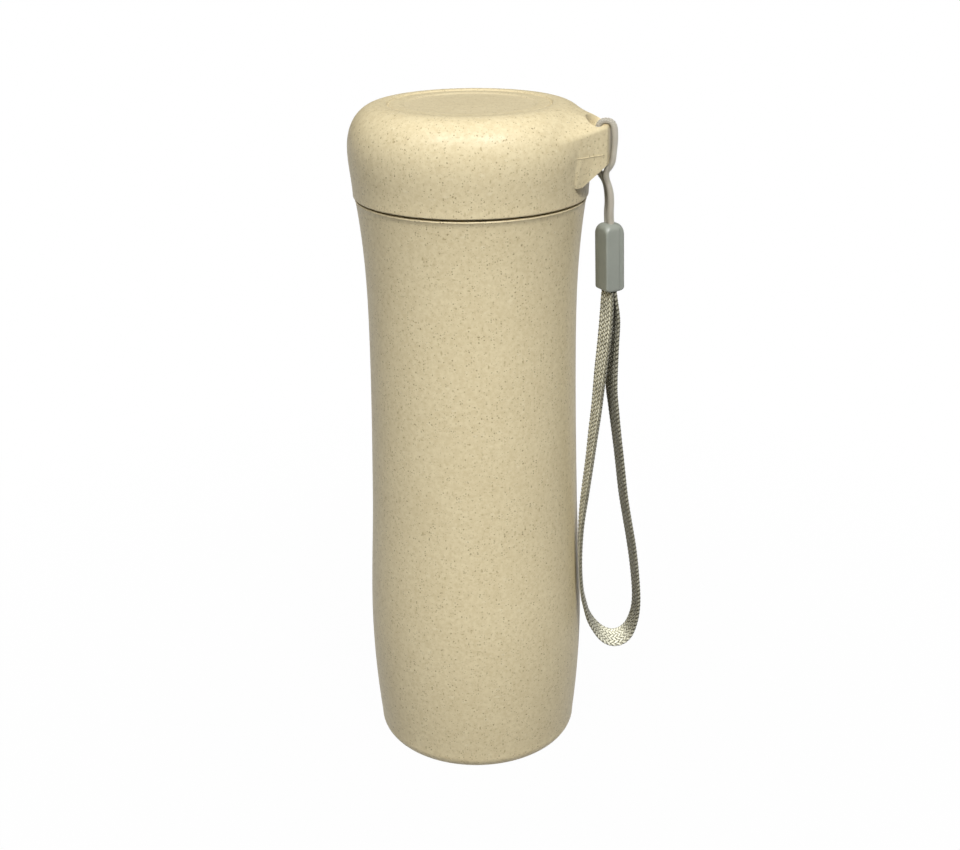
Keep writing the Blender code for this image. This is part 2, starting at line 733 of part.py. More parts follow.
def make_lid_seal(material):
    plug_outer = mouth_radius - PLUG_CLEARANCE
    seal_top = seal_bottom + SEAL_THICKNESS
    outer = insert_inner - GAP
    inner = plug_outer + GAP
    chamfer = 0.4 * MM
    section = [
        (inner, seal_bottom),
        (outer - chamfer, seal_bottom),
        (outer, seal_bottom + chamfer),
        (outer, seal_top),
        (inner, seal_top),
    ]
    return turned("lid_seal", section, SMALL_SEGMENTS, material)


def clip_axes():
    """Directions of the clip: its broad side, its front, and its long side, which leans."""
    turn = math.radians(LOOP_TURN + CLIP_TURN)
    lean = math.radians(CLIP_LEAN)
    upright = Vector((-math.sin(lean), 0.0, math.cos(lean)))
    broad = Vector((math.cos(turn), math.sin(turn), 0.0))
    broad = (broad - upright * broad.dot(upright)).normalized()
    return broad, broad.cross(upright), upright


def clip_place(across, along, height):
    """Place in the clip, from the middle of its foot."""
    broad, front, upright = clip_axes()
    top = Vector((clip_x, 0.0, clip_top))
    return top + broad * across + front * along + upright * (height - CLIP_HEIGHT)


def rounded_plate(width, height, top_corner, bottom_corner, steps):
    """Outline in (across, up) about the middle of the bottom edge."""
    half = width / 2
    outline = []
    for side, center_z, corner, first in (
            (-1, bottom_corner, bottom_corner, 180), (1, bottom_corner, bottom_corner, 270),
            (1, height - top_corner, top_corner, 0), (-1, height - top_corner, top_corner, 90)):
        center_x = side * (half - corner)
        outline += arc(center_x, center_z, corner, first, first + 90, steps)
    return outline


def plate_rings(width, height, layers):
    """Rings of a rounded plate; each layer is (place along the front, inset)."""
    rings = []
    for place, inset in layers:
        outline = rounded_plate(
            width - 2 * inset, height - 2 * inset, CLIP_CORNER - inset, CLIP_FOOT_CORNER - inset, 3)
        rings.append([clip_place(x, place, z + inset) for x, z in outline])
    return rings


def clip_sizes():
    """Outer width and depth, parting plane and pocket middle, from what the clip holds."""
    pocket = 2 * STRAP_THICKNESS + 3 * GAP
    width = STRAP_WIDTH - STRAP_SQUEEZE + 2 * GAP + 2 * CLIP_WALL
    depth = CLIP_FRONT_WALL + pocket + CLIP_COVER
    parting = -depth / 2 + CLIP_COVER
    return width, depth, parting, parting + pocket / 2


def pocket_tool(name, width, depth, low, high, middle, material):
    rings = []
    for height in (low, high):
        ring = []
        for across, along in ((-1, -1), (1, -1), (1, 1), (-1, 1)):
            ring.append(clip_place(across * width / 2, middle + along * depth / 2, height))
        rings.append(ring)
    return loft(name, rings, material, closed_ends=True)


def make_clip(material):
    width, depth, parting, middle = clip_sizes()
    front_face = depth / 2
    body_layers = [
        (parting + GAP / 2, 0.0),
        (front_face - CLIP_EDGE, 0.0),
        (front_face - CLIP_EDGE * 0.3, CLIP_EDGE * 0.3),
        (front_face, CLIP_EDGE),
    ]
    body = loft("clip_body", plate_rings(width, CLIP_HEIGHT, body_layers), material, closed_ends=True)
    cover_layers = [
        (-front_face, CLIP_EDGE),
        (parting - GAP / 2 - (CLIP_COVER - GAP / 2) * 0.5, 0.0),
        (parting - GAP / 2, 0.0),
    ]
    loft("clip_cover", plate_rings(width, CLIP_HEIGHT, cover_layers), material, closed_ends=True)
    beyond = 1.0 * MM
    strap_room = STRAP_WIDTH - STRAP_SQUEEZE + 2 * GAP
    add_boolean(body, pocket_tool(
        "strap_pocket_tool", strap_room, 2 * (middle - parting),
        -beyond, STRAP_POCKET, middle, material), "DIFFERENCE")
    add_boolean(body, pocket_tool(
        "cord_pocket_tool", 2 * CORD_DIAMETER + 3 * GAP, CORD_DIAMETER + 2 * GAP,
        CLIP_HEIGHT - CORD_POCKET, CLIP_HEIGHT + beyond, middle, material), "DIFFERENCE")


def cord_route():
    """Route of the thin cord: up from the clip, round the lug's end, down the hole, back."""
    aside = (CORD_DIAMETER + GAP) / 2
    middle = clip_sizes()[3]
    ends = []
    for side in (1, -1):
        heights = (CLIP_HEIGHT - CORD_POCKET + GAP, CLIP_HEIGHT - 2.5 * MM, CLIP_HEIGHT + 0.3 * MM)
        ends.append([clip_place(side * aside, middle, height) for height in heights])
    around = [
        (0.75, -0.9, -13.2),
        (0.8, -0.95, -10.6),
        (0.55, -0.95, -8.2),
        (0.05, -0.9, -6.5),
        (-0.65, -0.75, -4.9),
        (-0.75, -0.45, -3.4),
        (0.05, -0.15, -2.3),
        (0.95, 0.0, -0.8),
        (1.35, 0.0, 1.2),
        (1.42, 0.0, 3.8),
        (1.4, 0.0, 6.8),
        (1.1, 0.0, 8.9),
        (0.35, 0.0, 9.95),
        (-0.8, 0.0, 10.2),
        (-2.1, 0.0, 10.1),
        (-3.0, 0.0, 9.2),
        (-3.3, 0.0, 7.4),
        (-3.3, 0.0, 5.0),
        (-3.25, 0.0, 2.0),
        (-3.25, 0.0, -1.2),
        (-3.0, 0.1, -3.0),
        (-2.35, 0.5, -4.7),
        (-1.5, 0.85, -6.5),
        (-0.85, 0.9, -8.6),
        (-0.4, 0.95, -11.0),
        (-0.5, 0.9, -13.6),
    ]
    route = ends[0]
    for out, y, up in around:
        route.append(Vector((lug_end + out * MM, y * MM, lug_low + up * MM)))
    return route + ends[1][::-1]


def make_cord_loop(material):
    curve = bpy.data.curves.new("cord_loop", "CURVE")
    curve.dimensions = "3D"
    curve.bevel_depth = CORD_DIAMETER / 2
    curve.bevel_resolution = 2
    curve.use_fill_caps = True
    path = smooth_path(cord_route(), CORD_DIAMETER)
    spline = curve.splines.new("POLY")
    spline.points.add(len(path) - 1)
    for point, place in zip(spline.points, path):
        point.co = (*place, 1.0)
    curve.materials.append(material)
    piece = bpy.data.objects.new("cord_loop", curve)
    bpy.context.scene.collection.objects.link(piece)


def strap_route():
    """Route of the flat strap, as (place, turn of its width about Z in degrees, tilt).

    The rows hold the way out, the way across and the drop from the clip's foot.
    """
    turn = math.radians(LOOP_TURN)
    along = Vector((math.cos(turn), math.sin(turn), 0.0))
    across = Vector((-math.sin(turn), math.cos(turn), 0.0))
    foot = clip_place(0.0, 0.0, 0.0)
    layer = (STRAP_THICKNESS + GAP) / 2
    rows = [
        (-0.6, -0.4, -7.9, -61, 0),
        (-1.1, -0.4, -15.3, -63, 0),
        (-1.8, -0.4, -22.6, -68, 0),
        (-2.7, -0.3, -34.2, -75, 0),
        (-3.5, -0.3, -41.7, -80, 0),
        (-4.3, -0.4, -49.7, -84, 0),
        (-5.4, -0.6, -60.6, -85, 0),
        (-6.05, -0.8, -68.2, -88, 0),
        (-6.25, -0.8, -75.9, -91, 0),
        (-6.1, -0.8, -84.1, -93, 0),
        (-5.6, -0.6, -92.1, -93, -2),
        (-4.9, -0.4, -96.1, -92, -6),
        (-3.8, -0.2, -100.1, -91, -12),
        (-1.7, 0.0, -103.7, -90, -20),
        (0.7, 0.0, -106.2, -90, -28),
        (3.3, 0.0, -107.4, -90, -34),
        (5.8, 0.0, -107.0, -89, -38),
        (7.9, 0.0, -105.3, -87, -36),
        (9.3, 0.0, -102.2, -84, -28),
        (10.1, 0.0, -98.3, -81, -16),
        (10.2, 0.0, -93.3, -80, -6),
        (9.4, 0.0, -84.3, -80, 0),
        (8.3, 0.0, -76.2, -79, 0),
        (6.9, 0.0, -68.4, -78, 0),
        (5.6, 0.1, -60.8, -78, 0),
        (4.2, 0.2, -50.0, -78, 0),
        (3.2, 0.3, -42.0, -77, 0),
        (2.3, 0.4, -34.5, -75, 0),
        (1.6, 0.5, -28.0, -71, 0),
        (1.1, 0.5, -15.6, -65, 0),
        (0.9, 0.5, -8.1, -62, 0),
    ]
    ends = []
    for side in (1, -1):
        layers = []
        for height in (STRAP_POCKET - GAP, 5.0 * MM, -1.5 * MM):
            place = clip_place(0.0, clip_sizes()[3] + side * layer, height)
            layers.append((place, LOOP_TURN + CLIP_TURN, 0))
        ends.append(layers)
    route = ends[0]
    for out, aside, drop, angle, tilt in rows:
        offset = along * (out * MM) + across * (aside * MM) + Vector((0.0, 0.0, drop * MM))
        route.append((foot + offset, LOOP_TURN + angle, tilt))
    return route + ends[1][::-1]


def make_strap_loop(material):
    """Ribbon along its route; it narrows a little where the clip holds it."""
    route = strap_route()
    places = [place for place, turn, tilt in route]
    lengths = [0.0]
    for a, b in zip(places, places[1:]):
        lengths.append(lengths[-1] + (b - a).length)
    turns = [(s, turn) for s, (place, turn, tilt) in zip(lengths, route)]
    tilts = [(s, tilt) for s, (place, turn, tilt) in zip(lengths, route)]
    turn_slopes = slopes(turns)
    tilt_slopes = slopes(tilts)
    path = smooth_path(places, 3.4 * MM)
    rings = []
    for k, place in enumerate(path):
        before = path[max(0, k - 1)]
        after = path[min(len(path) - 1, k + 1)]
        tangent = (after - before).normalized()
        share = lengths[-1] * k / (len(path) - 1)
        turn = math.radians(hermite(turns, turn_slopes, share))
        tilt = math.radians(hermite(tilts, tilt_slopes, share))
        wanted = Vector((
            math.cos(turn) * math.cos(tilt), math.sin(turn) * math.cos(tilt), math.sin(tilt)))
        across = (wanted - tangent * wanted.dot(tangent)).normalized()
        normal = tangent.cross(across)
        held = place.z > clip_bottom - 1.0 * MM
        half = (STRAP_WIDTH - (STRAP_SQUEEZE if held else 0.0)) / 2
        ring = []
        for a, n in ((-1, -1), (1, -1), (1, 1), (-1, 1)):
            ring.append(place + across * (a * half) + normal * (n * STRAP_THICKNESS / 2))
        rings.append(ring)
    return loft("strap_loop", rings, material, closed_ends=True)


def main():
    for item in list(bpy.data.objects):
        bpy.data.objects.remove(item, do_unlink=True)
    straw = make_material("wheat_straw", (0.60, 0.51, 0.32), 0.5)
    glass = make_material("clear_glass", (0.92, 0.95, 0.94), 0.05, alpha=0.35, transmission=0.9)
    silicone = make_material("silicone", (0.82, 0.82, 0.79), 0.55)
    inner = make_material("inner_lid_plastic", (0.72, 0.66, 0.50), 0.45)
    grey = make_material("clip_plastic", (0.27, 0.29, 0.26), 0.4)
    cord = make_material("cord_yarn", (0.52, 0.47, 0.37), 0.8)
    webbing = make_material("strap_webbing", (0.36, 0.34, 0.23), 0.85)
    make_outer_shell(straw)
    make_base_cushion(silicone)
    make_glass_liner(glass)
    make_neck_collar(straw)
    make_neck_ring(silicone)
    make_lid_cover(straw)
    make_lid_insert(inner)
    make_lid_seal(silicone)
    make_cord_loop(cord)
    make_clip(grey)
    make_strap_loop(webbing)


main()
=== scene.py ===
# Wheat straw tumbler: fine meshes, finishes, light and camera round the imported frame.
# The cup stands on Z = 0, and the lug of the lid points along +X. Lengths are in metres.

from math import acos, atan, atan2, cos, degrees, hypot, pi, radians, sin, sqrt, tan

import bpy
import numpy as np
from mathutils import Matrix, Vector


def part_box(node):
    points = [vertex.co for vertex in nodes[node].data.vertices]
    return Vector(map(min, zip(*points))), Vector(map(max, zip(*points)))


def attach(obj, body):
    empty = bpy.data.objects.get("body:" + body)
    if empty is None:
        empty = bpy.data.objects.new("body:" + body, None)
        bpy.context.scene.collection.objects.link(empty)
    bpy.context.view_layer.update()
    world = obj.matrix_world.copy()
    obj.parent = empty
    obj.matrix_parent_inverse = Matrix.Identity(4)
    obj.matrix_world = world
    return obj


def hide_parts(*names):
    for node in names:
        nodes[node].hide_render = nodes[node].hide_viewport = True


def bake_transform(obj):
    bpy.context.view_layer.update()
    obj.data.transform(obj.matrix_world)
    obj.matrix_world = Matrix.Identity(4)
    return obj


mm = 0.001

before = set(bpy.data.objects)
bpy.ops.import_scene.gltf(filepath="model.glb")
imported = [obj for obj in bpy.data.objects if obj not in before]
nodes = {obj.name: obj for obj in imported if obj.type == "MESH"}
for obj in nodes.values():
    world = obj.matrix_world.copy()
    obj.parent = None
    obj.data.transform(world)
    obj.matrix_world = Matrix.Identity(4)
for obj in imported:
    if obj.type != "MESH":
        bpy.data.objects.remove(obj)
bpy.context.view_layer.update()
print("frame loaded:", len(nodes), "nodes")

view = {
    "turn": 15.0,  # degrees that the camera stands round from the side of the lug
    "distance": 375.0 * mm,
    "height": 248.195 * mm,
    "pitch": 21.843,  # degrees below the horizon
    "yaw": 0.268,
    "roll": -0.674,
    "lens": 52.572,
    "sensor": 36.0,
}

light = {
    "ambient": 0.0173,
    "shadedSide": 0.0,  # the dark card beside the cup
    "aim": 0.12,  # height that the lamps look at
    "floorNear": 0.985,  # how far the floor reads as white near the cup
}
lampRows = [
    # azimuth and elevation in degrees, distance, size, share of the light, seen in mirrors
    ("lampLeft", -32.0, 51.0, 1.25, 0.28, 0.58, True),
    ("lampRight", 22.0, 51.0, 1.25, 0.28, 0.94, True),
    ("lampBack", 180.0, 14.0, 1.1, 0.5, 0.22, False),
]


# Camera

def addObject(name, data):
    piece = bpy.data.objects.new(name, data)
    bpy.context.scene.collection.objects.link(piece)
    return piece


def addCamera():
    camera = addObject("camera", bpy.data.cameras.new("camera"))
    camera.data.lens = view["lens"]
    camera.data.sensor_width = view["sensor"]
    camera.data.clip_start = 0.01
    standing = Matrix.Rotation(radians(view["turn"]), 3, "Z")
    yaw, pitch, roll = (radians(view[key]) for key in ("yaw", "pitch", "roll"))
    right = standing @ Vector((cos(yaw), -sin(yaw), 0.0))
    ahead = standing @ Vector((
        sin(yaw) * cos(pitch), cos(yaw) * cos(pitch), -sin(pitch)))
    upward = standing @ Vector((
        sin(yaw) * sin(pitch), cos(yaw) * sin(pitch), cos(pitch)))
    side = right * cos(roll) + upward * sin(roll)
    top = upward * cos(roll) - right * sin(roll)
    place = standing @ Vector((0.0, -view["distance"], view["height"]))
    axes = Matrix((side, top, -ahead)).transposed().to_4x4()
    camera.matrix_world = Matrix.Translation(place) @ axes
    bpy.context.scene.camera = camera


# Finishes

def newFinish(name):
    finish = bpy.data.materials.new(name)
    finish.use_nodes = True
    return finish


def setSockets(finish, node, sockets):
    for key, value in sockets.items():
        if isinstance(value, bpy.types.NodeSocket):
            finish.node_tree.links.new(value, node.inputs[key])
        else:
            node.inputs[key].default_value = value
    return node


def addNode(finish, kind, sockets=None, **settings):
    node = finish.node_tree.nodes.new("ShaderNode" + kind)
    for key, value in settings.items():
        setattr(node, key, value)
    return setSockets(finish, node, sockets or {})


def shaderOf(finish, sockets):
    setSockets(finish, finish.node_tree.nodes["Principled BSDF"], sockets)
    return finish


def calc(finish, operation, a, b=0.0, c=0.0):
    return addNode(finish, "Math", {0: a, 1: b, 2: c}, operation=operation).outputs[0]


def blendColors(finish, share, first, second):
    return addNode(finish, "Mix", {0: share, 6: first, 7: second}, data_type="RGBA").outputs[2]


def tinted(finish, color, mask, strength, other):
    return blendColors(finish, calc(finish, "MULTIPLY", mask, strength), color, other)


def objectPlace(finish):
    return addNode(finish, "TexCoord").outputs["Object"]


def noiseOf(finish, place, size, detail=2.0, roughness=0.5, output=0):
    node = addNode(finish, "TexNoise", {
        "Vector": place, "Scale": 1.0 / size, "Detail": detail, "Roughness": roughness})
    return node.outputs[output]


def mappedTo(finish, place, scale, rotation=(0.0, 0.0, 0.0)):
    return addNode(finish, "Mapping", {
        "Vector": place, "Rotation": rotation, "Scale": scale}).outputs[0]


def stretchTo(finish, value, low, high, start=0.0, end=1.0):
    node = addNode(finish, "MapRange", {
        "Value": value, "From Min": low, "From Max": high, "To Min": start, "To Max": end})
    return node.outputs[0]


def bumpOf(finish, height, strength, distance):
    return addNode(finish, "Bump", {
        "Height": height, "Strength": strength, "Distance": distance}).outputs["Normal"]


straw = {
    "color": (0.690, 0.597, 0.385, 1.0),
    "shade": (0.545, 0.448, 0.262, 1.0),
    "husk": (0.190, 0.140, 0.070, 1.0),
    "fibre": (0.370, 0.290, 0.150, 1.0),
    "pale": (0.780, 0.710, 0.520, 1.0),
    # colour of the painted shade on the lid's flat middle
    "mattShadedTop": (0.500, 0.430, 0.290, 1.0),
    "insert": (0.700, 0.630, 0.450, 1.0),
    "speckSize": 0.62 * mm,
    "fibreSize": 1.15 * mm,
    "grainSize": 0.22 * mm,
    "cloudShare": 0.20,  # how strongly each layer colours the ones below
    "mottleShare": 0.62,
    "paleShare": 0.35,
    "fibreShare": 0.75,
    "huskShare": 0.72,
    "dotShare": 0.65,
    # how strongly the painted shade darkens the lid's flat middle
    "topShadeShare": 0.30,
    "mattShadeEdge": 1.3 * mm,
    "mattShadeRise": 0.5 * mm,
    "roughness": 0.44,
}


def specks(finish, place, size, reach, share):
    # round flecks in some of the cells of a cell pattern: each has its own size and depth
    cells = addNode(finish, "TexVoronoi", {"Vector": place, "Scale": 1.0 / size}).outputs
    parts = addNode(finish, "SeparateColor", {0: cells["Color"]}).outputs
    chosen = stretchTo(finish, parts[0], 1.0 - share, 1.0 - share * 0.6)
    room = calc(finish, "MULTIPLY_ADD", parts[1], reach * 0.7, reach * 0.5)
    near = calc(finish, "SUBTRACT", room, cells["Distance"])
    edge = stretchTo(finish, near, -0.03, 0.09)
    depth = calc(finish, "MULTIPLY_ADD", parts[2], 0.6, 0.4)
    return calc(finish, "MULTIPLY", calc(finish, "MULTIPLY", edge, chosen), depth)


def mattShadeMask(finish, place, height, radius):
    parts = addNode(finish, "SeparateXYZ", {0: place}).outputs
    square = calc(finish, "MULTIPLY", parts[1], parts[1])
    spread = calc(finish, "SQRT", calc(finish, "MULTIPLY_ADD", parts[0], parts[0], square))
    inside = stretchTo(finish, spread, radius, radius + straw["mattShadeEdge"], 1.0, 0.0)
    above = stretchTo(finish, parts[2], height, height + straw["mattShadeRise"])
    return calc(finish, "MULTIPLY", inside, above)


def strawFinish(name, speckDepth=1.0, base=straw["color"], mattShadedTop=None):
    # this argument is the height and radius of the lid's flat middle, which gets a rougher matt
    # finish and a darker colour that is painted shade
    finish = newFinish(name)
    place = objectPlace(finish)
    wobble = noiseOf(finish, place, 0.5 * mm, 1.0, output="Color")
    bent = addNode(finish, "VectorMath", {
        0: wobble, 1: (0.45 * mm,) * 3, 2: place}, operation="MULTIPLY_ADD").outputs[0]
    flat = mappedTo(finish, bent, (0.42, 1.0, 1.0), (0.5, 0.3, 0.9))
    tall = mappedTo(finish, bent, (1.0, 1.0, 0.40), (0.2, 0.6, 0.1))
    husks = specks(finish, bent, straw["speckSize"], 0.34, 0.50)
    dots = specks(finish, place, straw["speckSize"] * 0.6, 0.28, 0.20)
    fibresFlat = specks(finish, flat, straw["fibreSize"], 0.20, 0.40)
    fibresTall = specks(finish, tall, straw["fibreSize"], 0.20, 0.40)
    fibres = calc(finish, "MAXIMUM", fibresFlat, fibresTall)
    pales = specks(finish, flat, straw["fibreSize"] * 1.3, 0.26, 0.30)
    clouds = stretchTo(finish, noiseOf(finish, place, 14 * mm, 3.0), 0.35, 0.70)
    mottle = stretchTo(finish, noiseOf(finish, place, 1.3 * mm, 4.0, 0.7), 0.38, 0.66)
    color = base
    for mask, share, other in (
            (clouds, straw["cloudShare"], straw["shade"]),
            (mottle, straw["mottleShare"], straw["shade"]),
            (pales, straw["paleShare"], straw["pale"]),
            (fibres, straw["fibreShare"] * speckDepth, straw["fibre"]),
            (husks, straw["huskShare"] * speckDepth, straw["husk"]),
            (dots, straw["dotShare"] * speckDepth, straw["husk"])):
        color = tinted(finish, color, mask, share, other)
    worn = calc(finish, "MULTIPLY_ADD", mottle, 0.07, straw["roughness"])
    if mattShadedTop:
        dish = mattShadeMask(finish, place, *mattShadedTop)
        # painted shade darkens the lid's flat middle; the next line makes it rougher, a matt finish
        color = tinted(finish, color, dish, straw["topShadeShare"], straw["mattShadedTop"])
        worn = calc(finish, "MULTIPLY_ADD", dish, 0.12, worn)
    worn = calc(finish, "MULTIPLY_ADD", husks, 0.10, worn)
    grain = noiseOf(finish, place, straw["grainSize"], 3.0)
    relief = calc(finish, "MULTIPLY_ADD", husks, -0.5, grain)
    relief = calc(finish, "MULTIPLY_ADD", noiseOf(finish, place, 1.7 * mm), 1.3, relief)
    return shaderOf(finish, {
        "Base Color": color, "Roughness": worn, "Normal": bumpOf(finish, relief, 0.22, 0.05 * mm),
        "Specular IOR Level": 0.26, "Coat Weight": 0.05, "Coat Roughness": 0.22})


def clearFinish(name):
    finish = newFinish(name)
    place = objectPlace(finish)
    smear = noiseOf(finish, place, 6 * mm, 4.0)
    wave = noiseOf(finish, place, 18 * mm, 1.0)
    return shaderOf(finish, {
        "Base Color": (0.93, 0.965, 0.95, 1.0),
        "Roughness": stretchTo(finish, smear, 0.45, 0.75, 0.02, 0.09),
        "Normal": bumpOf(finish, wave, 0.15, 0.3 * mm), "Transmission Weight": 1.0, "IOR": 1.5})


def siliconeFinish(name):
    finish = newFinish(name)
    place = objectPlace(finish)
    dust = noiseOf(finish, place, 0.5 * mm, 4.0, 0.65)
    cloud = noiseOf(finish, place, 9 * mm)
    color = blendColors(finish, cloud, (0.80, 0.79, 0.74, 1.0), (0.70, 0.69, 0.63, 1.0))
    lint = stretchTo(finish, dust, 0.60, 0.75, 0.0, 0.4)
    return shaderOf(finish, {
        "Base Color": blendColors(finish, lint, color, (0.9, 0.9, 0.88, 1.0)),
        "Roughness": stretchTo(finish, dust, 0.3, 0.7, 0.50, 0.66),
        "Normal": bumpOf(finish, dust, 0.2, 0.03 * mm),
        "Subsurface Weight": 0.15, "Subsurface Radius": (2 * mm,) * 3})


clipLook = {
    "color": (0.275, 0.290, 0.250, 1.0),
    "shade": (0.225, 0.238, 0.205, 1.0),
    "scuff": (0.380, 0.390, 0.350, 1.0),
    "roughness": 0.38,
}


def clipFinish(name):
    finish = newFinish(name)
    place = objectPlace(finish)
    cloud = noiseOf(finish, place, 5 * mm, 3.0)
    grain = noiseOf(finish, place, 0.16 * mm, 3.0)
    scuff = noiseOf(finish, mappedTo(finish, place, (1.0, 1.0, 0.12)), 0.35 * mm, 3.0)
    color = blendColors(finish, cloud, clipLook["color"], clipLook["shade"])
    rubbed = stretchTo(finish, scuff, 0.62, 0.76, 0.0, 0.25)
    rough = clipLook["roughness"]
    return shaderOf(finish, {
        "Base Color": blendColors(finish, rubbed, color, clipLook["scuff"]),
        "Roughness": stretchTo(finish, scuff, 0.3, 0.75, rough - 0.05, rough + 0.12),
        "Normal": bumpOf(finish, grain, 0.18, 0.03 * mm), "Specular IOR Level": 0.5})


def yarnFinish(name, look):
    # the yarn attribute holds millimetres along the yarn, across it, and the number of the yarn
    # the level attribute holds how high the yarn lies, which way it faces and how level the run is
    finish = newFinish(name)
    lay = addNode(finish, "Attribute", attribute_name="yarn").outputs["Vector"]
    fine = mappedTo(finish, lay, (0.9, 9.0, 3.1))
    strands = noiseOf(finish, fine, 1.0 / 1.6, 3.0, 0.6)
    parts = addNode(finish, "SeparateXYZ", {0: lay}).outputs
    hue = addNode(finish, "TexWhiteNoise", {"W": parts[2]}, noise_dimensions="1D").outputs["Value"]
    soil = noiseOf(finish, objectPlace(finish), 5 * mm, 3.0)
    edge = calc(finish, "ABSOLUTE", parts[1])
    level = addNode(finish, "Attribute", attribute_name="level").outputs["Vector"]
    levels = addNode(finish, "SeparateXYZ", {0: level}).outputs
    lying = stretchTo(finish, levels[2], 0.03, 0.36)  # painted light: pale where the loop turns at its foot, lies level and faces up
    # painted shade on the inner face of the loop, left out where the loop lies level at its foot
    inner = stretchTo(finish, levels[1], 0.5, 0.95, look["inner"], 0.0)
    inner = calc(finish, "MULTIPLY", inner, calc(finish, "SUBTRACT", 1.0, lying))
    color = blendColors(finish, stretchTo(finish, strands, 0.30, 0.70), look["deep"], look["color"])
    color = tinted(finish, color, hue, 0.25, look["pale"])
    for share, other in (
            # painted highlight on the highest yarns
            (stretchTo(finish, levels[0], 0.62, 0.98, 0.0, look["crest"]), "pale"),
            # painted shade where a yarn dips under the other
            (stretchTo(finish, levels[0], 0.15, 0.60, 0.8, 0.0), "deep"),
            # painted shade on the loop's inner face
            (inner, "deep"),
            # painted light on the level part at the loop's foot
            (calc(finish, "MULTIPLY", lying, look["levelLight"]), "pale"),
            (stretchTo(finish, soil, 0.45, 0.75, 0.0, 0.35), "deep"),
            # painted shade in the creases at each yarn's edges
            (stretchTo(finish, edge, look["half"] * 0.45, look["half"], 0.0, 0.75), "deep")):
        color = blendColors(finish, share, color, look[other])
    rough = look["roughness"]
    return shaderOf(finish, {
        "Base Color": color,
        "Roughness": stretchTo(finish, strands, 0.3, 0.7, rough - 0.06, rough + 0.1),
        "Normal": bumpOf(finish, strands, 0.5, 0.04 * mm),
        "Specular IOR Level": 0.5, "Sheen Weight": 0.15, "Sheen Roughness": 0.4})


def coreFinish(name, color):
    finish = newFinish(name)
    dark = noiseOf(finish, objectPlace(finish), 0.3 * mm, 3.0)
    shade = tuple(part * 0.6 for part in color[:3]) + (1.0,)
    return shaderOf(finish, {
        "Base Color": blendColors(finish, dark, color, shade), "Roughness": 0.9,
        "Normal": bumpOf(finish, dark, 0.5, 0.05 * mm)})


# Mesh making

def smoothUpTo(mesh, degrees):
    mesh.shade_smooth()
    if degrees:
        mesh.set_sharp_from_angle(angle=radians(degrees))


def meshPiece(name, points, faces, finish, sharpAngle=38.0):
    mesh = bpy.data.meshes.new(name)
    mesh.from_pydata([tuple(point) for point in points], [], faces)
    mesh.validate()
    mesh.update()
    smoothUpTo(mesh, sharpAngle)
    mesh.materials.append(finish)
    return addObject(name, mesh)


def skin(name, rings, finish, sharpAngle=38.0, capped=False):
    # joins rings of points in their order; a ring of one point is a pole
    points = []
    starts = []
    for ring in rings:
        starts.append(len(points))
        points.extend(ring)
    faces = []
    for k in range(len(rings) - 1):
        low, high = starts[k], starts[k + 1]
        lowCount, highCount = len(rings[k]), len(rings[k + 1])
        count = max(lowCount, highCount)
        for a in range(count):
            b = (a + 1) % count
            if lowCount == 1:
                faces.append((low, high + b, high + a))
            elif highCount == 1:
                faces.append((low + a, low + b, high))
            else:
                faces.append((low + a, low + b, high + b, high + a))
    if capped:
        faces.append(tuple(range(starts[0] + len(rings[0]) - 1, starts[0] - 1, -1)))
        faces.append(tuple(range(starts[-1], starts[-1] + len(rings[-1]))))
    return meshPiece(name, points, faces, finish, sharpAngle)


def circle(radius, height, segments):
    if radius == 0.0:
        return [(0.0, 0.0, height)]
    step = 2 * pi / segments
    return [
        (radius * cos(step * k), radius * sin(step * k), height) for k in range(segments)]


def arc(centerR, centerZ, radius, start, end, steps):
    points = []
    for k in range(steps + 1):
        angle = radians(start + (end - start) * k / steps)
        points.append((centerR + radius * cos(angle), centerZ + radius * sin(angle)))
    return points


def rounded(corners, steps=5):
    # outline through (radius, height, rounding) corners, with an arc at each rounding
    points = []
    for k, (r, z, rounding) in enumerate(corners):
        if rounding == 0.0 or k in (0, len(corners) - 1):
            points.append((r, z))
            continue
        here = Vector((r, z))
        before = (Vector(corners[k - 1][:2]) - here).normalized()
        after = (Vector(corners[k + 1][:2]) - here).normalized()
        half = before.angle(after) / 2
        reach = rounding / tan(half)
        center = here + (before + after).normalized() * (rounding / sin(half))
        first = (here + before * reach - center).normalized()
        last = (here + after * reach - center).normalized()
        for j in range(steps + 1):
            spoke = first.slerp(last, j / steps).normalized() * rounding
            points.append((center.x + spoke.x, center.y + spoke.y))
    return points


def cutFrom(piece, tool):
    modifier = piece.modifiers.new("cut", "BOOLEAN")
    modifier.operation = "DIFFERENCE"
    modifier.solver = "EXACT"
    modifier.object = tool
    bpy.context.view_layer.update()
    graph = bpy.context.evaluated_depsgraph_get()
    result = bpy.data.meshes.new_from_object(piece.evaluated_get(graph))
    piece.modifiers.remove(modifier)
    piece.data = result
    bpy.data.objects.remove(tool, do_unlink=True)


def easeStep(value):
    value = min(1.0, max(0.0, value))
    return value * value * (3 - 2 * value)


def between(a, b, share):
    return a * (1 - share) + b * share


def polar(radius, bearing, height):
    return (radius * cos(bearing), radius * sin(bearing), height)


def fromLug(bearing):
    return min(bearing, 2 * pi - bearing)


def slopesOf(knots):
    inner = []
    for k in range(1, len(knots) - 1):
        inner.append((knots[k + 1][1] - knots[k - 1][1]) / (knots[k + 1][0] - knots[k - 1][0]))
    first = (knots[1][1] - knots[0][1]) / (knots[1][0] - knots[0][0])
    last = (knots[-1][1] - knots[-2][1]) / (knots[-1][0] - knots[-2][0])
    return [2 * first - inner[0], *inner, 2 * last - inner[-1]]


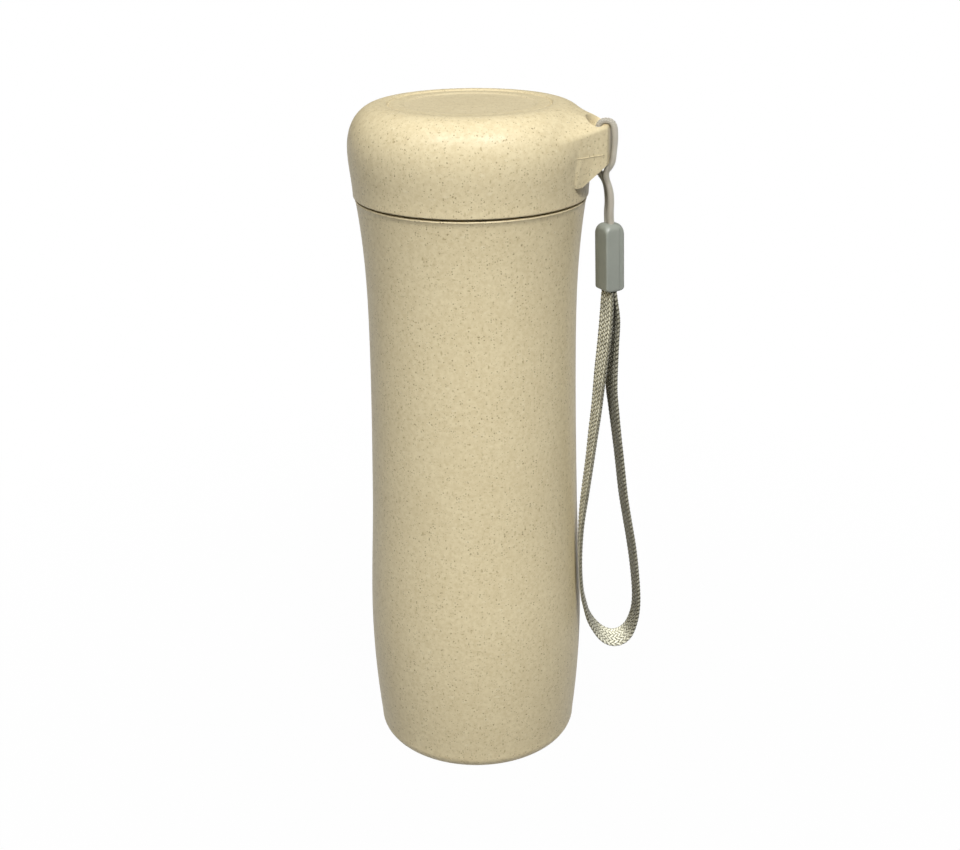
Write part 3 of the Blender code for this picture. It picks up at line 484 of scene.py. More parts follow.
def smoothValue(knots, slopes, place):
    k = 0
    while k < len(knots) - 2 and place > knots[k + 1][0]:
        k += 1
    span = knots[k + 1][0] - knots[k][0]
    t = (place - knots[k][0]) / span
    near = (1 + 2 * t) * (1 - t) ** 2 * knots[k][1] + t * (1 - t) ** 2 * span * slopes[k]
    far = t * t * (3 - 2 * t) * knots[k + 1][1] - t * t * (1 - t) * span * slopes[k + 1]
    return near + far


# Cup: the outer shell, with its rounded rim

cup = {
    "waistRadius": 29.04 * mm,
    "waistDrop": 45.0 * mm,
    "baseSwell": 0.02 * mm,
    "bellySwell": 2.4 * mm,
    "bellyHeight": 35.0 * mm,
    "flankSwell": 0.91 * mm,
    "shoulderSwell": 0.34 * mm,
    "shoulderDrop": 20.0 * mm,
    "overhang": 0.5 * mm,  # of the lid over the rim
    "baseFillet": 4.1 * mm,
    "rimRound": 0.5 * mm,
    "rimBand": 1.25 * mm,  # height of the slight lip under the rim
    "rimBlend": 0.35 * mm,
    "rimLip": 0.07 * mm,
    "wall": 1.55 * mm,
    "floor": 3.0 * mm,
    "floorFillet": 3.0 * mm,
    "seatWidth": 2.5 * mm,
    "seatDepth": 1.85 * mm,
    "footGroove": 20.0 * mm,
    "footGrooveWidth": 2.0 * mm,
    "footGrooveDepth": 0.6 * mm,
    "gap": 0.3 * mm,
    "segments": 200,
    "wallSteps": 110,
}
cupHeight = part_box("outer_shell")[1].z
lidLow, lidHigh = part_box("lid_cover")
lidFoot = lidLow.z
lidTop = lidHigh.z
bulgeRadius = lidHigh.y
lugEnd = lidHigh.x


def shellRadius(height):
    waistHeight = cupHeight - cup["waistDrop"]
    knots = [
        (0.0, cup["waistRadius"] + cup["baseSwell"]),
        (cup["bellyHeight"], cup["waistRadius"] + cup["bellySwell"]),
        ((cup["bellyHeight"] + waistHeight) / 2, cup["waistRadius"] + cup["flankSwell"]),
        (waistHeight, cup["waistRadius"]),
        (cupHeight - cup["shoulderDrop"], cup["waistRadius"] + cup["shoulderSwell"]),
        (cupHeight, rimRadius),
    ]
    return smoothValue(knots, slopesOf(knots), height)


def makeCupShell(finish):
    core = cup["waistRadius"] - cup["wall"]
    seat = core + cup["seatWidth"]
    seatHeight = cupHeight - cup["seatDepth"]
    half = cup["footGrooveWidth"] / 2
    outline = [(0.0, 0.0), (cup["footGroove"] - 3 * half, 0.0)]
    for k in range(13):
        across = -1 + k / 6
        rise = cup["footGrooveDepth"] * cos(across * pi / 2) ** 2
        outline.append((cup["footGroove"] + half * across, rise))
    fillet = cup["baseFillet"]
    outline += arc(shellRadius(fillet) - fillet, fillet, fillet, -90, 0, 20)
    top = cupHeight - cup["rimRound"]
    for k in range(1, cup["wallSteps"] + 1):
        height = fillet + (top - fillet) * k / cup["wallSteps"]
        lip = min(1.0, max(0.0, (height - cupHeight + cup["rimBand"]) / cup["rimBlend"]))
        outline.append((shellRadius(height) + cup["rimLip"] * (lip - 1), height))
    outline += arc(rimRadius - cup["rimRound"], top, cup["rimRound"], 8, 90, 8)
    outline += rounded([
        (seat + 0.2 * mm, cupHeight, 0), (seat, cupHeight, 0.15 * mm), (seat, seatHeight, 0.1 * mm),
        (core, seatHeight, 0.2 * mm), (core, seatHeight - 2 * mm, 0)])
    inner = cup["floorFillet"]
    outline += arc(core - inner, cup["floor"] + inner, inner, 0, -90, 8)
    outline.append((0.0, cup["floor"]))
    piece = skin("cupShell", [circle(r, z, cup["segments"]) for r, z in outline], finish)
    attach(piece, "vessel")
    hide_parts("outer_shell")


# Lid: the cover with its dish and lug

lid = {
    "bulge": 1.0 * mm,
    "bulgeHeight": 12.45 * mm,
    "crownPower": 2.2,
    "skirtWall": 1.3 * mm,
    "topWall": 1.7 * mm,
    "footRound": 0.4 * mm,
    "dishRadius": 23.3 * mm,
    "dishFloorRadius": 17.0 * mm,
    "dishBand": 3.0 * mm,  # flat band round the dish
    "dishDepth": 0.55 * mm,
    "groove": 0.42 * mm,
    "grooveWidth": 1.1 * mm,
    "grooveInset": 1.1 * mm,
    "snapLip": 0.5 * mm,
    "snapLipHeight": 0.6 * mm,
    "weldRadius": 16.0 * mm,
    "weldWall": 1.4 * mm,
    "parting": 178.0 * mm,  # height of the moulding ridge
    "ridge": 0.13 * mm,
    "ridgeRings": 112,  # rings of the outside that the ridge may cross
    "ridgeStart": 38,  # bearings that it runs between, counted from the lug's middle
    "ridgeEnd": 75,
    "plugPlate": 2.6 * mm,
    "innerDome": 5.5 * mm,
    "mattShadeDrop": 2.0 * mm,  # how far under the top the matt finish and painted shade reach
    "mattShadeRim": 0.6 * mm,
}
lug = {
    "halfWidth": 4.0 * mm,
    "corner": 0.7 * mm,
    "start": 4.5 * mm,
    "endLow": 9.6 * mm,
    "endTop": 5.2 * mm,
    "topRadius": 27.4 * mm,
    "bevel": 0.6 * mm,
    "softness": 0.9 * mm,  # rounding between its end and its top
    "web": 2.1 * mm,
    "holeLength": 3.0 * mm,
    "holeWidth": 2.4 * mm,
    "mouthLength": 2.6 * mm,  # half of the oval mouth, along the lug and across it
    "mouthWidth": 4.7 * mm,
    "mouthMiddle": 3.4 * mm,  # in from the lug's end
    "mouthDrop": 2.2 * mm,
    "mouthEdge": 0.9 * mm,
    "channelWidth": 2.3 * mm,
    "channelDrop": 0.25 * mm,
    "channelEdge": 0.24 * mm,
    "channelStart": 0.4 * mm,
    "channelLip": 0.35 * mm,
    "lipLength": 1.0 * mm,
    "carveFrom": 28.0 * mm,  # the carving stays outside this X and inside this Y
    "carveHalf": 6.0 * mm,
    "carveDepth": 0.9 * mm,  # of the layer under the mouth that is squeezed
    "fadeStart": 8.0,  # degrees at which the flank starts to blend into the wall
    "fadeSpan": 14.0,
    "blend": 0.35 * mm,
    "crownStart": 18.0,  # degrees up the crown at which the lug's top starts
}
lidSteps = {
    "endBearings": 44,
    "sideBearings": 56,
    "backBearings": 190,
    "skirt": 16,
    "underside": 20,
    "flank": 44,
    "slope": 64,
    "crown": 16,
    "groove": 8,
    "dish": 30,
}
footRadius = bulgeRadius - lid["bulge"]
rimRadius = footRadius - cup["overhang"]
bulgeTop = lidFoot + lid["bulgeHeight"]
lugLow = lidFoot + lug["endLow"]
lugHigh = lidTop - lug["endTop"]
cordFoot = lidFoot + 9.9 * mm  # height that the cord's route counts from
holeX = lugEnd - lug["web"] - lug["holeLength"] / 2


def lidRadius(height):
    return footRadius + lid["bulge"] * easeStep((height - lidFoot) / lid["bulgeHeight"])


def crownPoint(degrees):
    power = 2.0 / lid["crownPower"]
    angle = radians(degrees)
    wide = (bulgeRadius - lid["dishRadius"]) * max(0.0, cos(angle)) ** power
    tall = (lidTop - bulgeTop) * max(0.0, sin(angle)) ** power
    return lid["dishRadius"] + wide, bulgeTop + tall


def crownBearing(radius):
    share = (radius - lid["dishRadius"]) / (bulgeRadius - lid["dishRadius"])
    return degrees(acos(share ** (lid["crownPower"] / 2.0)))


def crownRadius(height):
    share = (height - bulgeTop) / (lidTop - bulgeTop)
    wide = bulgeRadius - lid["dishRadius"]
    return lid["dishRadius"] + wide * (1 - share ** lid["crownPower"]) ** (1 / lid["crownPower"])


def lugOutline(bearing, radius, tip):
    # polar radius of the hull round the lid's circle and the lug's square end
    innerX = tip - lug["corner"]
    innerY = lug["halfWidth"] - lug["corner"]
    reach = hypot(innerX, innerY)
    if reach <= radius - lug["corner"] or tip <= radius:
        return radius
    tangent = atan2(innerY, innerX) + acos((radius - lug["corner"]) / reach)
    if bearing >= tangent:
        return radius
    if bearing <= atan2(innerY, tip):
        return tip / cos(bearing)
    cornerX = innerX + lug["corner"] * cos(tangent)
    cornerY = innerY + lug["corner"] * sin(tangent)
    if bearing >= atan2(cornerY, cornerX):
        return radius / cos(tangent - bearing)
    along = innerX * cos(bearing) + innerY * sin(bearing)
    across = innerX * sin(bearing) - innerY * cos(bearing)
    return along + sqrt(lug["corner"] ** 2 - across ** 2)


def lidBearings():
    # close together over the lug's end, wide at the back
    end, flank = 7.6, 37.0
    ends, sides, backs = (lidSteps[key] for key in ("endBearings", "sideBearings", "backBearings"))
    half = [end * k / ends for k in range(ends + 1)]
    half += [end + (flank - end) * (k / sides) ** 1.15 for k in range(1, sides + 1)]
    back = [flank + (360 - 2 * flank) * k / backs for k in range(1, backs)]
    other = [360 - bearing for bearing in reversed(half[1:])]
    return [radians(bearing) for bearing in half + back + other]


def lidRing(bearings, radius, height, tip=0.0, tipHeight=0.0):
    ring = []
    for bearing in bearings:
        reach = lugOutline(fromLug(bearing), radius, tip) if tip else radius
        rise = 0.0
        if reach > radius:
            share = min(1.0, (reach - radius) / (tip - radius))
            rise = (tipHeight - height) * share ** 0.7
        ring.append(polar(reach, bearing, height + rise))
    return ring


def wallRadius(height):
    return crownRadius(height) if height > bulgeTop else lidRadius(height)


def lugFoot(bearings, low):
    # where the lug's slanted underside ends: reach, height, share of the lug and its fading
    slope = (lugLow - low) / (lugEnd - lidRadius(low))
    foot = []
    for bearing in bearings:
        signed = fromLug(bearing)
        fade = easeStep((degrees(signed) - lug["fadeStart"]) / lug["fadeSpan"])
        height = lugLow
        for _ in range(4):
            own = lidRadius(height)
            reach = own + (lugOutline(signed, own, lugEnd) - own) * (1 - fade)
            height = max(low, lugLow - (lugEnd - reach * cos(signed)) * slope)
        foot.append((reach, height, easeStep((reach - own) / lug["blend"]), fade))
    return foot


def lugFlank(bearings):
    # the slanted underside, then the upright flanks: rings from the lid's wall to the lug's top
    low = lidFoot + lug["start"]
    foot = lugFoot(bearings, low)
    rings = []
    for k in range(lidSteps["underside"]):
        share = k / lidSteps["underside"]
        wallHeight = low + (lugLow - low) * share
        ring = []
        for bearing, (reach, height, lugShare, _) in zip(bearings, foot):
            outward = lidRadius(low) + (reach - lidRadius(low)) * share
            radius = between(lidRadius(wallHeight), outward, lugShare)
            z = between(wallHeight, low + (height - low) * share, lugShare)
            ring.append(polar(radius, bearing, z))
        rings.append(ring)
    high = crownPoint(lug["crownStart"])
    topRing = lidRing(bearings, *high, lugEnd, lugTurn()[0][1])
    for k in range(lidSteps["flank"]):
        share = k / lidSteps["flank"]
        wallHeight = lugLow + (high[1] - lugLow) * share
        ring = []
        for bearing, top, (_, height, lugShare, fade) in zip(bearings, topRing, foot):
            start = between(lugLow, height, lugShare)
            z = start + (top[2] - start) * share
            radius = between(wallRadius(z), wallRadius(wallHeight), share)
            full = lugOutline(fromLug(bearing), radius, lugEnd)
            reach = full - (full - radius) * fade * (1 - share) ** 1.2
            ring.append(polar(reach, bearing, z))
        rings.append(ring)
    return rings


def lugSlope():
    # the two ends of the lug's sloping top, and how fast it rises inwards
    slopeRadius, slopeHeight = lugEnd - lug["bevel"], lugHigh + lug["bevel"]
    leaveRadius, leaveHeight = crownPoint(crownBearing(lug["topRadius"]))
    fall = (leaveHeight - slopeHeight) / (slopeRadius - leaveRadius)
    return (slopeRadius, slopeHeight), (leaveRadius, leaveHeight), fall


def lugTurn():
    # the rounded turn between the lug's end and its sloping top
    (_, slopeHeight), leave, fall = lugSlope()
    corner = slopeHeight - fall * lug["bevel"]
    corners = [(lugEnd, lugLow, 0), (lugEnd, corner, lug["softness"]), (*leave, 0)]
    return rounded(corners, 9)[1:]


def lugTop(bearings):
    crownStart, crownEnd = lug["crownStart"], crownBearing(lug["topRadius"])
    turn = lugTurn()
    leave = turn.pop()
    tips = turn[:-1]
    for k in range(lidSteps["slope"]):
        share = k / (lidSteps["slope"] - 1)
        tips.append(tuple(a + (b - a) * share for a, b in zip(turn[-1], leave)))
    rings = []
    for k, tip in enumerate(tips):
        share = k / (len(tips) - 1)
        wall = crownPoint(crownStart + (crownEnd - crownStart) * share)
        rings.append(lidRing(bearings, *wall, *tip))
    return rings


def dishOutline():
    # the flat rim, the fine groove, the band inside it and the slope down to the dish's floor
    outline = []
    grooveRim = lid["dishRadius"] - lid["grooveInset"]
    slopeTop = grooveRim - lid["grooveWidth"]
    for k in range(lidSteps["groove"] + 1):
        share = k / lidSteps["groove"]
        dip = lid["groove"] * (sin(pi * share) ** 2 + 0.5 * share)
        outline.append((grooveRim - lid["grooveWidth"] * share, lidTop - dip))
    slopeStart = slopeTop - lid["dishBand"]
    for k in range(1, lidSteps["dish"] + 1):
        radius = slopeTop - (slopeTop - lid["dishFloorRadius"]) * k / lidSteps["dish"]
        share = easeStep((slopeStart - radius) / (slopeStart - lid["dishFloorRadius"]))
        drop = lid["groove"] / 2 + (lid["dishDepth"] - lid["groove"] / 2) * share
        outline.append((radius, lidTop - drop))
    for share in (0.75, 0.5, 0.25):
        outline.append((lid["dishFloorRadius"] * share, lidTop - lid["dishDepth"]))
    return outline


def coverOutside(bearings):
    edge = lid["footRound"]
    outline = arc(footRadius - edge, lidFoot + edge, edge, -90, 0, 6)
    low = lidFoot + lug["start"]
    for k in range(1, lidSteps["skirt"]):
        height = lidFoot + edge + (low - lidFoot - edge) * k / lidSteps["skirt"]
        outline.append((lidRadius(height), height))
    rings = [lidRing(bearings, *place) for place in outline]
    rings += lugFlank(bearings) + lugTop(bearings)
    crownEnd = crownBearing(lug["topRadius"])
    outline = []
    for k in range(1, lidSteps["crown"] + 1):
        outline.append(crownPoint(crownEnd + (90.0 - crownEnd) * k / lidSteps["crown"]))
    rings += [lidRing(bearings, *place) for place in outline + dishOutline()]
    rings.append([(0.0, 0.0, lidTop - lid["dishDepth"])])
    return [[carved(point) for point in ring] for ring in rings]


def carved(point):
    # the mouth of the hole and the channel that leads the cord over the lug's end
    x, y, z = point
    floor = lugHigh - lug["mouthDrop"]
    keep = floor - lug["carveDepth"]
    if x < lug["carveFrom"] or abs(y) > lug["carveHalf"] or z <= keep:
        return point
    (slopeRadius, slopeHeight), _, fall = lugSlope()
    top = slopeHeight + fall * max(0.0, slopeRadius - x) - max(0.0, x - slopeRadius)
    long, wide = lug["mouthLength"], lug["mouthWidth"]
    outside = (hypot((x - lugEnd + lug["mouthMiddle"]) / long, y / wide) - 1) * long
    inMouth = easeStep(0.5 - outside / lug["mouthEdge"])
    half = lug["channelWidth"] / 2
    inChannel = easeStep(0.5 - (abs(y) - half) / lug["channelEdge"])
    inChannel *= easeStep((x - holeX) / lug["channelStart"])
    reach = min(half, abs(y))
    bed = lugHigh - lug["channelDrop"] + half - sqrt(half * half - reach * reach)
    atLip = easeStep((x - lugEnd + lug["lipLength"]) / lug["lipLength"])
    bed -= lug["channelLip"] * atLip ** 2
    target = top + (min(bed, top) - top) * inChannel
    target += (min(floor, target) - target) * inMouth
    return (x, y, keep + (z - keep) * (target - keep) / (top - keep))


def coverInside(bearings):
    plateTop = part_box("lid_insert")[1].z - lid["plugPlate"]
    weldOut = lid["weldRadius"] + lid["weldWall"]
    weldFoot = plateTop + cup["gap"]
    roof = lidTop - lid["dishDepth"] - lid["topWall"]
    inner = footRadius - lid["skirtWall"]
    weldIn, dome = lid["weldRadius"], lid["innerDome"]
    outline = rounded([
        (0.0, roof, 0), (weldIn, roof, 0.3 * mm), (weldIn, weldFoot, 0.2 * mm),
        (weldOut, weldFoot, 0.2 * mm), (weldOut, roof, 0.3 * mm), (weldOut + 1 * mm, roof, 0)])
    outline += arc(inner - dome, roof - dome, dome, 90, 0, 8)
    outline += [
        (inner, lidFoot + lid["snapLipHeight"] + 0.3 * mm),
        (inner - lid["snapLip"], lidFoot + lid["snapLipHeight"]),
        (inner - lid["snapLip"], lidFoot),
    ]
    rings = [[(0.0, 0.0, outline[0][1])]]
    return rings + [lidRing(bearings, radius, height) for radius, height in outline[1:]]


def makeHoleTool():
    radius = lug["holeWidth"] / 2
    half = lug["holeLength"] / 2 - radius
    outline = arc(holeX + half, 0.0, radius, -90, 90, 16)
    outline += arc(holeX - half, 0.0, radius, 90, 270, 16)
    rings = [[(x, y, height) for x, y in outline] for height in (lidFoot, lidTop)]
    return skin("holeTool", rings, None, capped=True)


def ridgePoints(rings, height):
    # where the outside of the cover crosses a height, one point for each bearing
    points = []
    for column in range(len(rings[0])):
        for low, high in zip(rings, rings[1:]):
            a, b = Vector(low[column]), Vector(high[column])
            if a.z <= height < b.z:
                points.append(a.lerp(b, (height - a.z) / (b.z - a.z)))
                break
    return points


def makeRidge(name, points, finish):
    # fine raised line left by the mould's halves, half sunk in the surface
    size = lid["ridge"]
    rings = []
    for k, here in enumerate(points):
        before, after = points[max(0, k - 1)], points[min(len(points) - 1, k + 1)]
        along = (after - before).normalized()
        out = Vector((along.y, -along.x, 0.0)).normalized()
        fade = min(1.0, k / 9, (len(points) - 1 - k) / 9) * 0.9 + 0.1
        ring = []
        for j in range(6):
            angle = 2 * pi * j / 6
            offset = out * cos(angle) * size * fade
            ring.append(tuple(here + offset + Vector((0.0, 0.0, sin(angle) * size))))
        rings.append(ring)
    piece = skin(name, rings, finish, None, capped=True)
    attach(piece, "lid")


def makeLidCover(finish):
    bearings = lidBearings()
    outside = coverOutside(bearings)
    cover = skin("lidCover", coverInside(bearings) + outside, finish)
    cutFrom(cover, makeHoleTool())
    smoothUpTo(cover.data, 38.0)
    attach(cover, "lid")
    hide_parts("lid_cover")
    line = ridgePoints(outside[:lid["ridgeRings"]], lid["parting"])
    count, start, end = len(line), lid["ridgeStart"], lid["ridgeEnd"]
    makeRidge("lugRidgeFront", line[count - end + 1:count - start + 1], finish)
    makeRidge("lugRidgeBack", line[start:end], finish)


# Clip between cord and strap

clip = {
    "height": 18.4 * mm,
    "wall": 0.4 * mm,
    "frontWall": 1.25 * mm,
    "cover": 1.0 * mm,
    "corner": 2.0 * mm,
    "footCorner": 0.7 * mm,
    "edge": 0.45 * mm,
    "out": 0.15 * mm,
    "drop": 16.3 * mm,
    "strapPocket": 11.0 * mm,
    "cordPocket": 5.8 * mm,
    "turn": -64.0,
    "lean": 1.6,
    "dome": 1.7 * mm,  # fall of the top towards the cover's side
    "swell": 0.5 * mm,  # of the cover over its plate
    "groove": 2.0 * mm,  # wide flute down the front
    "grooveAcross": 1.3 * mm,
    "grooveDepth": 0.55 * mm,
    "grooveFoot": 1.6 * mm,
    "grooveHead": 2.8 * mm,
    "seam": 0.06 * mm,
    "sharp": 50.0,  # degrees
}
loopTurn = 15.0
clipX = lugEnd + clip["out"]
clipTop = cordFoot - clip["drop"]


def clipAxes():
    turn = radians(loopTurn + clip["turn"])
    lean = radians(clip["lean"])
    upright = Vector((-sin(lean), 0.0, cos(lean)))
    broad = Vector((cos(turn), sin(turn), 0.0))
    broad = (broad - upright * broad.dot(upright)).normalized()
    return broad, broad.cross(upright), upright


def clipPlace(across, along, height):
    broad, front, upright = clipAxes()
    top = Vector((clipX, 0.0, clipTop))
    return top + broad * across + front * along + upright * (height - clip["height"])


def clipSizes():
    pocket = 2 * strap["thickness"] + 3 * cup["gap"]
    width = strap["width"] - strap["squeeze"] + 2 * cup["gap"] + 2 * clip["wall"]
    depth = clip["frontWall"] + pocket + clip["cover"]
    parting = -depth / 2 + clip["cover"]
    return width, depth, parting, parting + pocket / 2


def plateRing(width, along, inset, drop=0.0):
    half = width / 2 - inset
    top = max(clip["corner"] - inset, 0.1 * mm)
    foot = max(clip["footCorner"] - inset * 0.7, 0.1 * mm)
    high = clip["height"] - max(inset, drop)
    low = max(inset, drop * 0.5)
    outline = arc(-half + foot, low + foot, foot, 180, 270, 6)
    outline += arc(half - foot, low + foot, foot, 270, 360, 6)
    outline += arc(half - top, high - top, top, 0, 90, 10)
    outline += arc(-half + top, high - top, top, 90, 180, 10)
    return [tuple(clipPlace(x, along, z)) for x, z in outline]


def domeDrop(inward):
    # how far the top has fallen at a distance in from an outer face
    share = min(1.0, max(0.0, 1 - inward / clip["dome"]))
    return clip["dome"] * (1 - sqrt(1 - 0.98 * share * share))


def edgeLayers(start, end, towards):
    # places along the clip's depth with the inset of a rounded edge at the end
    edge, seam = clip["edge"], clip["seam"]
    count, steps = 8, 6
    layers = [(start, seam / 2)]
    for k in range(count):
        along = (end - towards * edge - start) * k / count
        layers.append((start + towards * seam + along, 0.0))
    for k in range(steps + 1):
        angle = radians(90 * k / steps)
        layers.append((end - towards * edge * (1 - sin(angle)), edge * (1 - cos(angle))))
    return layers


def clipTool(width, depth, low, high, middle, aside=0.0):
    corners = [(-1, -1), (1, -1), (1, 1), (-1, 1)]
    rings = []
    for height in (low, high):
        rings.append([
            tuple(clipPlace(aside + a * width / 2, middle + b * depth / 2, height))
            for a, b in corners])
    return skin("clipTool", rings, None, capped=True)


def makeClip(finish):
    width, depth, parting, middle = clipSizes()
    gap, tall = cup["gap"], clip["height"]
    front, back = depth / 2, -depth / 2 - clip["swell"]
    layers = edgeLayers(parting + gap * 0.1, front, 1)
    rings = [plateRing(width, along, inset, domeDrop(front - along)) for along, inset in layers]
    body = skin("clipBody", rings[::-1], finish, clip["sharp"], capped=True)
    strapRoom = strap["width"] - strap["squeeze"] + 2 * gap
    cordRoom = 2 * cord["diameter"] + 3 * gap
    cordDepth = cord["diameter"] + 2 * gap
    flute = (clip["groove"], 2 * clip["grooveDepth"], clip["grooveFoot"], tall - clip["grooveHead"])
    cutFrom(body, clipTool(strapRoom, 2 * (middle - parting), -mm, clip["strapPocket"], middle))
    cutFrom(body, clipTool(cordRoom, cordDepth, tall - clip["cordPocket"], tall + mm, middle))
    cutFrom(body, clipTool(*flute, front, clip["grooveAcross"]))
    smoothUpTo(body.data, clip["sharp"])
    layers = edgeLayers(parting - gap * 0.1, back, -1)
    rings = [plateRing(width, along, inset, domeDrop(along - back)) for along, inset in layers]
    cover = skin("clipCover", rings, finish, clip["sharp"], capped=True)
    for piece, node in ((body, "clip_body"), (cover, "clip_cover")):
        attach(piece, "lanyard")
        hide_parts(node)


# Braided cord and strap

strap = {
    "width": 5.8 * mm,
    "thickness": 1.0 * mm,
    "squeeze": 1.0 * mm,
    "yarns": 12,  # each way round
    "pitch": 1.27 * mm,
    "yarn": 0.25 * mm,  # thickness of one yarn
    "relief": 0.62,
    "step": 0.254 * mm,
    "coreWidth": 0.86,  # shares of the strap's width and thickness
    "coreThickness": 0.34,
    "heldBelow": 3.0 * mm,  # how far under the clip the squeeze ends
    "heldFade": 4.0 * mm,
}
cord = {
    "diameter": 1.6 * mm,
    "loose": 1.72 * mm,  # over its loosest yarns
    "yarns": 8,
    "pitch": 0.66 * mm,
    "yarn": 0.2 * mm,
    "relief": 0.5,
    "step": 0.16 * mm,
    "core": 0.62,  # width of the core, as a share
    "inClip": 0.9 * mm,  # how deep its ends go into the clip
}
weave = {
    "phase": 0.25,  # where the first yarn goes over
    "flatTop": 1.15,  # how far the wave is cut off at its crests
    "yarnHeight": 0.55,
    "section": [(-1.0, 0.1), (-0.62, 0.72), (0.0, 1.0), (0.62, 0.72), (1.0, 0.1), (0.0, -0.75)],
}


def pathOf(points, spacing):
    lengths = [0.0]
    for a, b in zip(points, points[1:]):
        lengths.append(lengths[-1] + (b - a).length)
    axes = []
    for axis in range(3):
        knots = [(s, p[axis]) for s, p in zip(lengths, points)]
        axes.append((knots, slopesOf(knots)))
    count = max(2, round(lengths[-1] / spacing))
    places = [lengths[-1] * k / count for k in range(count + 1)]
    path = [[smoothValue(knots, slopes, place) for knots, slopes in axes] for place in places]
    return np.array(path), lengths


def lengthsAlong(path):
    steps = np.linalg.norm(np.diff(path, axis=0), axis=1)
    return np.concatenate([[0.0], np.cumsum(steps)])


def unit(vectors):
    return vectors / np.linalg.norm(vectors, axis=1)[:, None]


def ovalPlace(around, width, thickness):
    # places on a flat oval, by the distance round it, with the direction outwards
    straight = width - thickness
    bend = pi * thickness / 2
    around = np.mod(around + straight / 2, 2 * (straight + bend))
    second = around >= straight + bend
    local = np.where(second, around - straight - bend, around)
    sign = np.where(second, -1.0, 1.0)
    angle = np.clip((local - straight) / (thickness / 2), 0.0, pi)
    onStraight = local < straight
    a = np.where(onStraight, local - straight / 2, straight / 2 + thickness / 2 * np.sin(angle))
    n = np.where(onStraight, thickness / 2, thickness / 2 * np.cos(angle))
    outA = np.where(onStraight, 0.0, np.sin(angle))
    outN = np.where(onStraight, 1.0, np.cos(angle))
    return a * sign, n * sign, outA * sign, outN * sign


def sidesOf(path, across):
    # lengths along a path, its direction, and the directions across it and out of its flat side
    along = lengthsAlong(path)
    tangent = unit(np.gradient(path, along, axis=0))
    across = unit(across - tangent * (across * tangent).sum(1)[:, None])
    return along, tangent, across, np.cross(tangent, across)


def braid(name, path, across, look, width, thickness, finish, widths=None):
    # two families of yarns round a flat oval, each over two of the other and under two
    along, tangent, across, normal = sidesOf(path, across)
    yarn = look["yarn"]
    innerWidth, innerThickness = width - 2 * yarn, thickness - 2 * yarn
    circumference = 2 * (innerWidth - innerThickness) + pi * innerThickness
    column = circumference / look["yarns"]
    lead = column / look["pitch"]
    count = round(along[-1] / look["step"]) + 1
    place = np.linspace(0.0, along[-1], count)

    def at(values):
        return np.stack([np.interp(place, along, values[:, k]) for k in range(3)], axis=1)

    center, side, face = at(path), unit(at(across)), unit(at(normal))
    laid = 1 - np.abs(np.interp(place, along, tangent[:, 2]))
    narrow = np.ones(count) if widths is None else np.interp(place, along, widths)
    half = column * cos(atan(lead)) * 0.5
    sides = len(weave["section"])
    low = np.arange(count - 1)
    points, faces, marks, levels = [], [], [], []
    start = 0
    for family in (1, -1):
        for k in range(look["yarns"]):
            around = k * column + family * place * lead
            a, n, outA, outN = ovalPlace(around, innerWidth, innerThickness)
            wave = np.cos(pi * (around / column - weave["phase"]))
            lift = family * np.clip(weave["flatTop"] * wave, -1, 1) * yarn * look["relief"]
            out = side * outA[:, None] + face * outN[:, None]
            middle = center + side * (a * narrow)[:, None] + face * n[:, None] + out * lift[:, None]
            ahead = unit(np.gradient(middle, axis=0))
            out = unit(out - ahead * (out * ahead).sum(1)[:, None])
            aside = np.cross(ahead, out)
            run = lengthsAlong(middle) / mm
            for x, y in weave["section"]:
                rise = y * yarn * weave["yarnHeight"]
                points.append(middle + aside * (x * half) + out * rise)
                marks.append(np.stack([
                    run, np.full(count, x * half / mm), np.full(count, k + 40.0 * family)], axis=1))
                level = family * wave * 0.5 + 0.5 if y > -0.5 else wave * 0.0
                levels.append(np.stack([level, outN * 0.5 + 0.5, laid], axis=1))
            for j in range(sides):
                here = start + j * count + low
                beside = start + (j + 1) % sides * count + low
                faces.append(np.stack([here, here + 1, beside + 1, beside], axis=1))
            start += sides * count
    points, faces = np.concatenate(points), np.concatenate(faces)
    piece = meshPiece(name, points.tolist(), faces.tolist(), finish, None)
    for key, values in (("yarn", marks), ("level", levels)):
        attribute = piece.data.attributes.new(key, "FLOAT_VECTOR", "POINT")
        attribute.data.foreach_set("vector", np.concatenate(values).astype(np.float32).ravel())
    return piece


def filler(name, path, across, width, thickness, finish, widths=None):
    # plain core that closes the braid's chinks; its dark colour is painted shade seen through them
    _, _, across, normal = sidesOf(path, across)
    around = np.linspace(0.0, 2 * (width - thickness) + pi * thickness, 13)[:-1]
    a, n, _, _ = ovalPlace(around, width, thickness)
    rings = []
    for k, here in enumerate(path):
        narrow = 1.0 if widths is None else widths[k]
        ring = here + np.outer(a * narrow, across[k]) + np.outer(n, normal[k])
        rings.append([tuple(point) for point in ring])
    return skin(name, rings[::-1], finish, None, capped=True)


# Route of the cord: out from the lug's end, across, up from the lowest point of that end

cordRows = [
    (0.75, -0.9, -13.2), (0.8, -0.95, -10.6), (0.6, -0.95, -8.2), (0.1, -0.9, -6.3),
    (-0.5, -0.85, -4.7), (-0.75, -0.75, -3.4), (-0.6, -0.6, -2.3), (0.15, -0.4, -1.3),
    (0.82, -0.2, 0.2), (1.0, 0.0, 2.2), (1.2, 0.0, 4.4), (1.26, 0.0, 6.6),
    (1.05, 0.0, 8.9), (0.35, 0.0, 10.1), (-0.8, 0.0, 10.5), (-2.1, 0.0, 10.3),
    (-3.0, 0.0, 9.3), (-3.3, 0.0, 7.4), (-3.3, 0.0, 5.0), (-3.2, 0.0, 2.0),
    (-3.1, 0.0, -0.6), (-2.9, 0.05, -2.2), (-2.35, 0.3, -3.4), (-1.55, 0.6, -4.6),
    (-0.95, 0.8, -6.1), (-0.6, 0.9, -8.1), (-0.4, 0.95, -10.8), (-0.5, 0.9, -13.6),
]


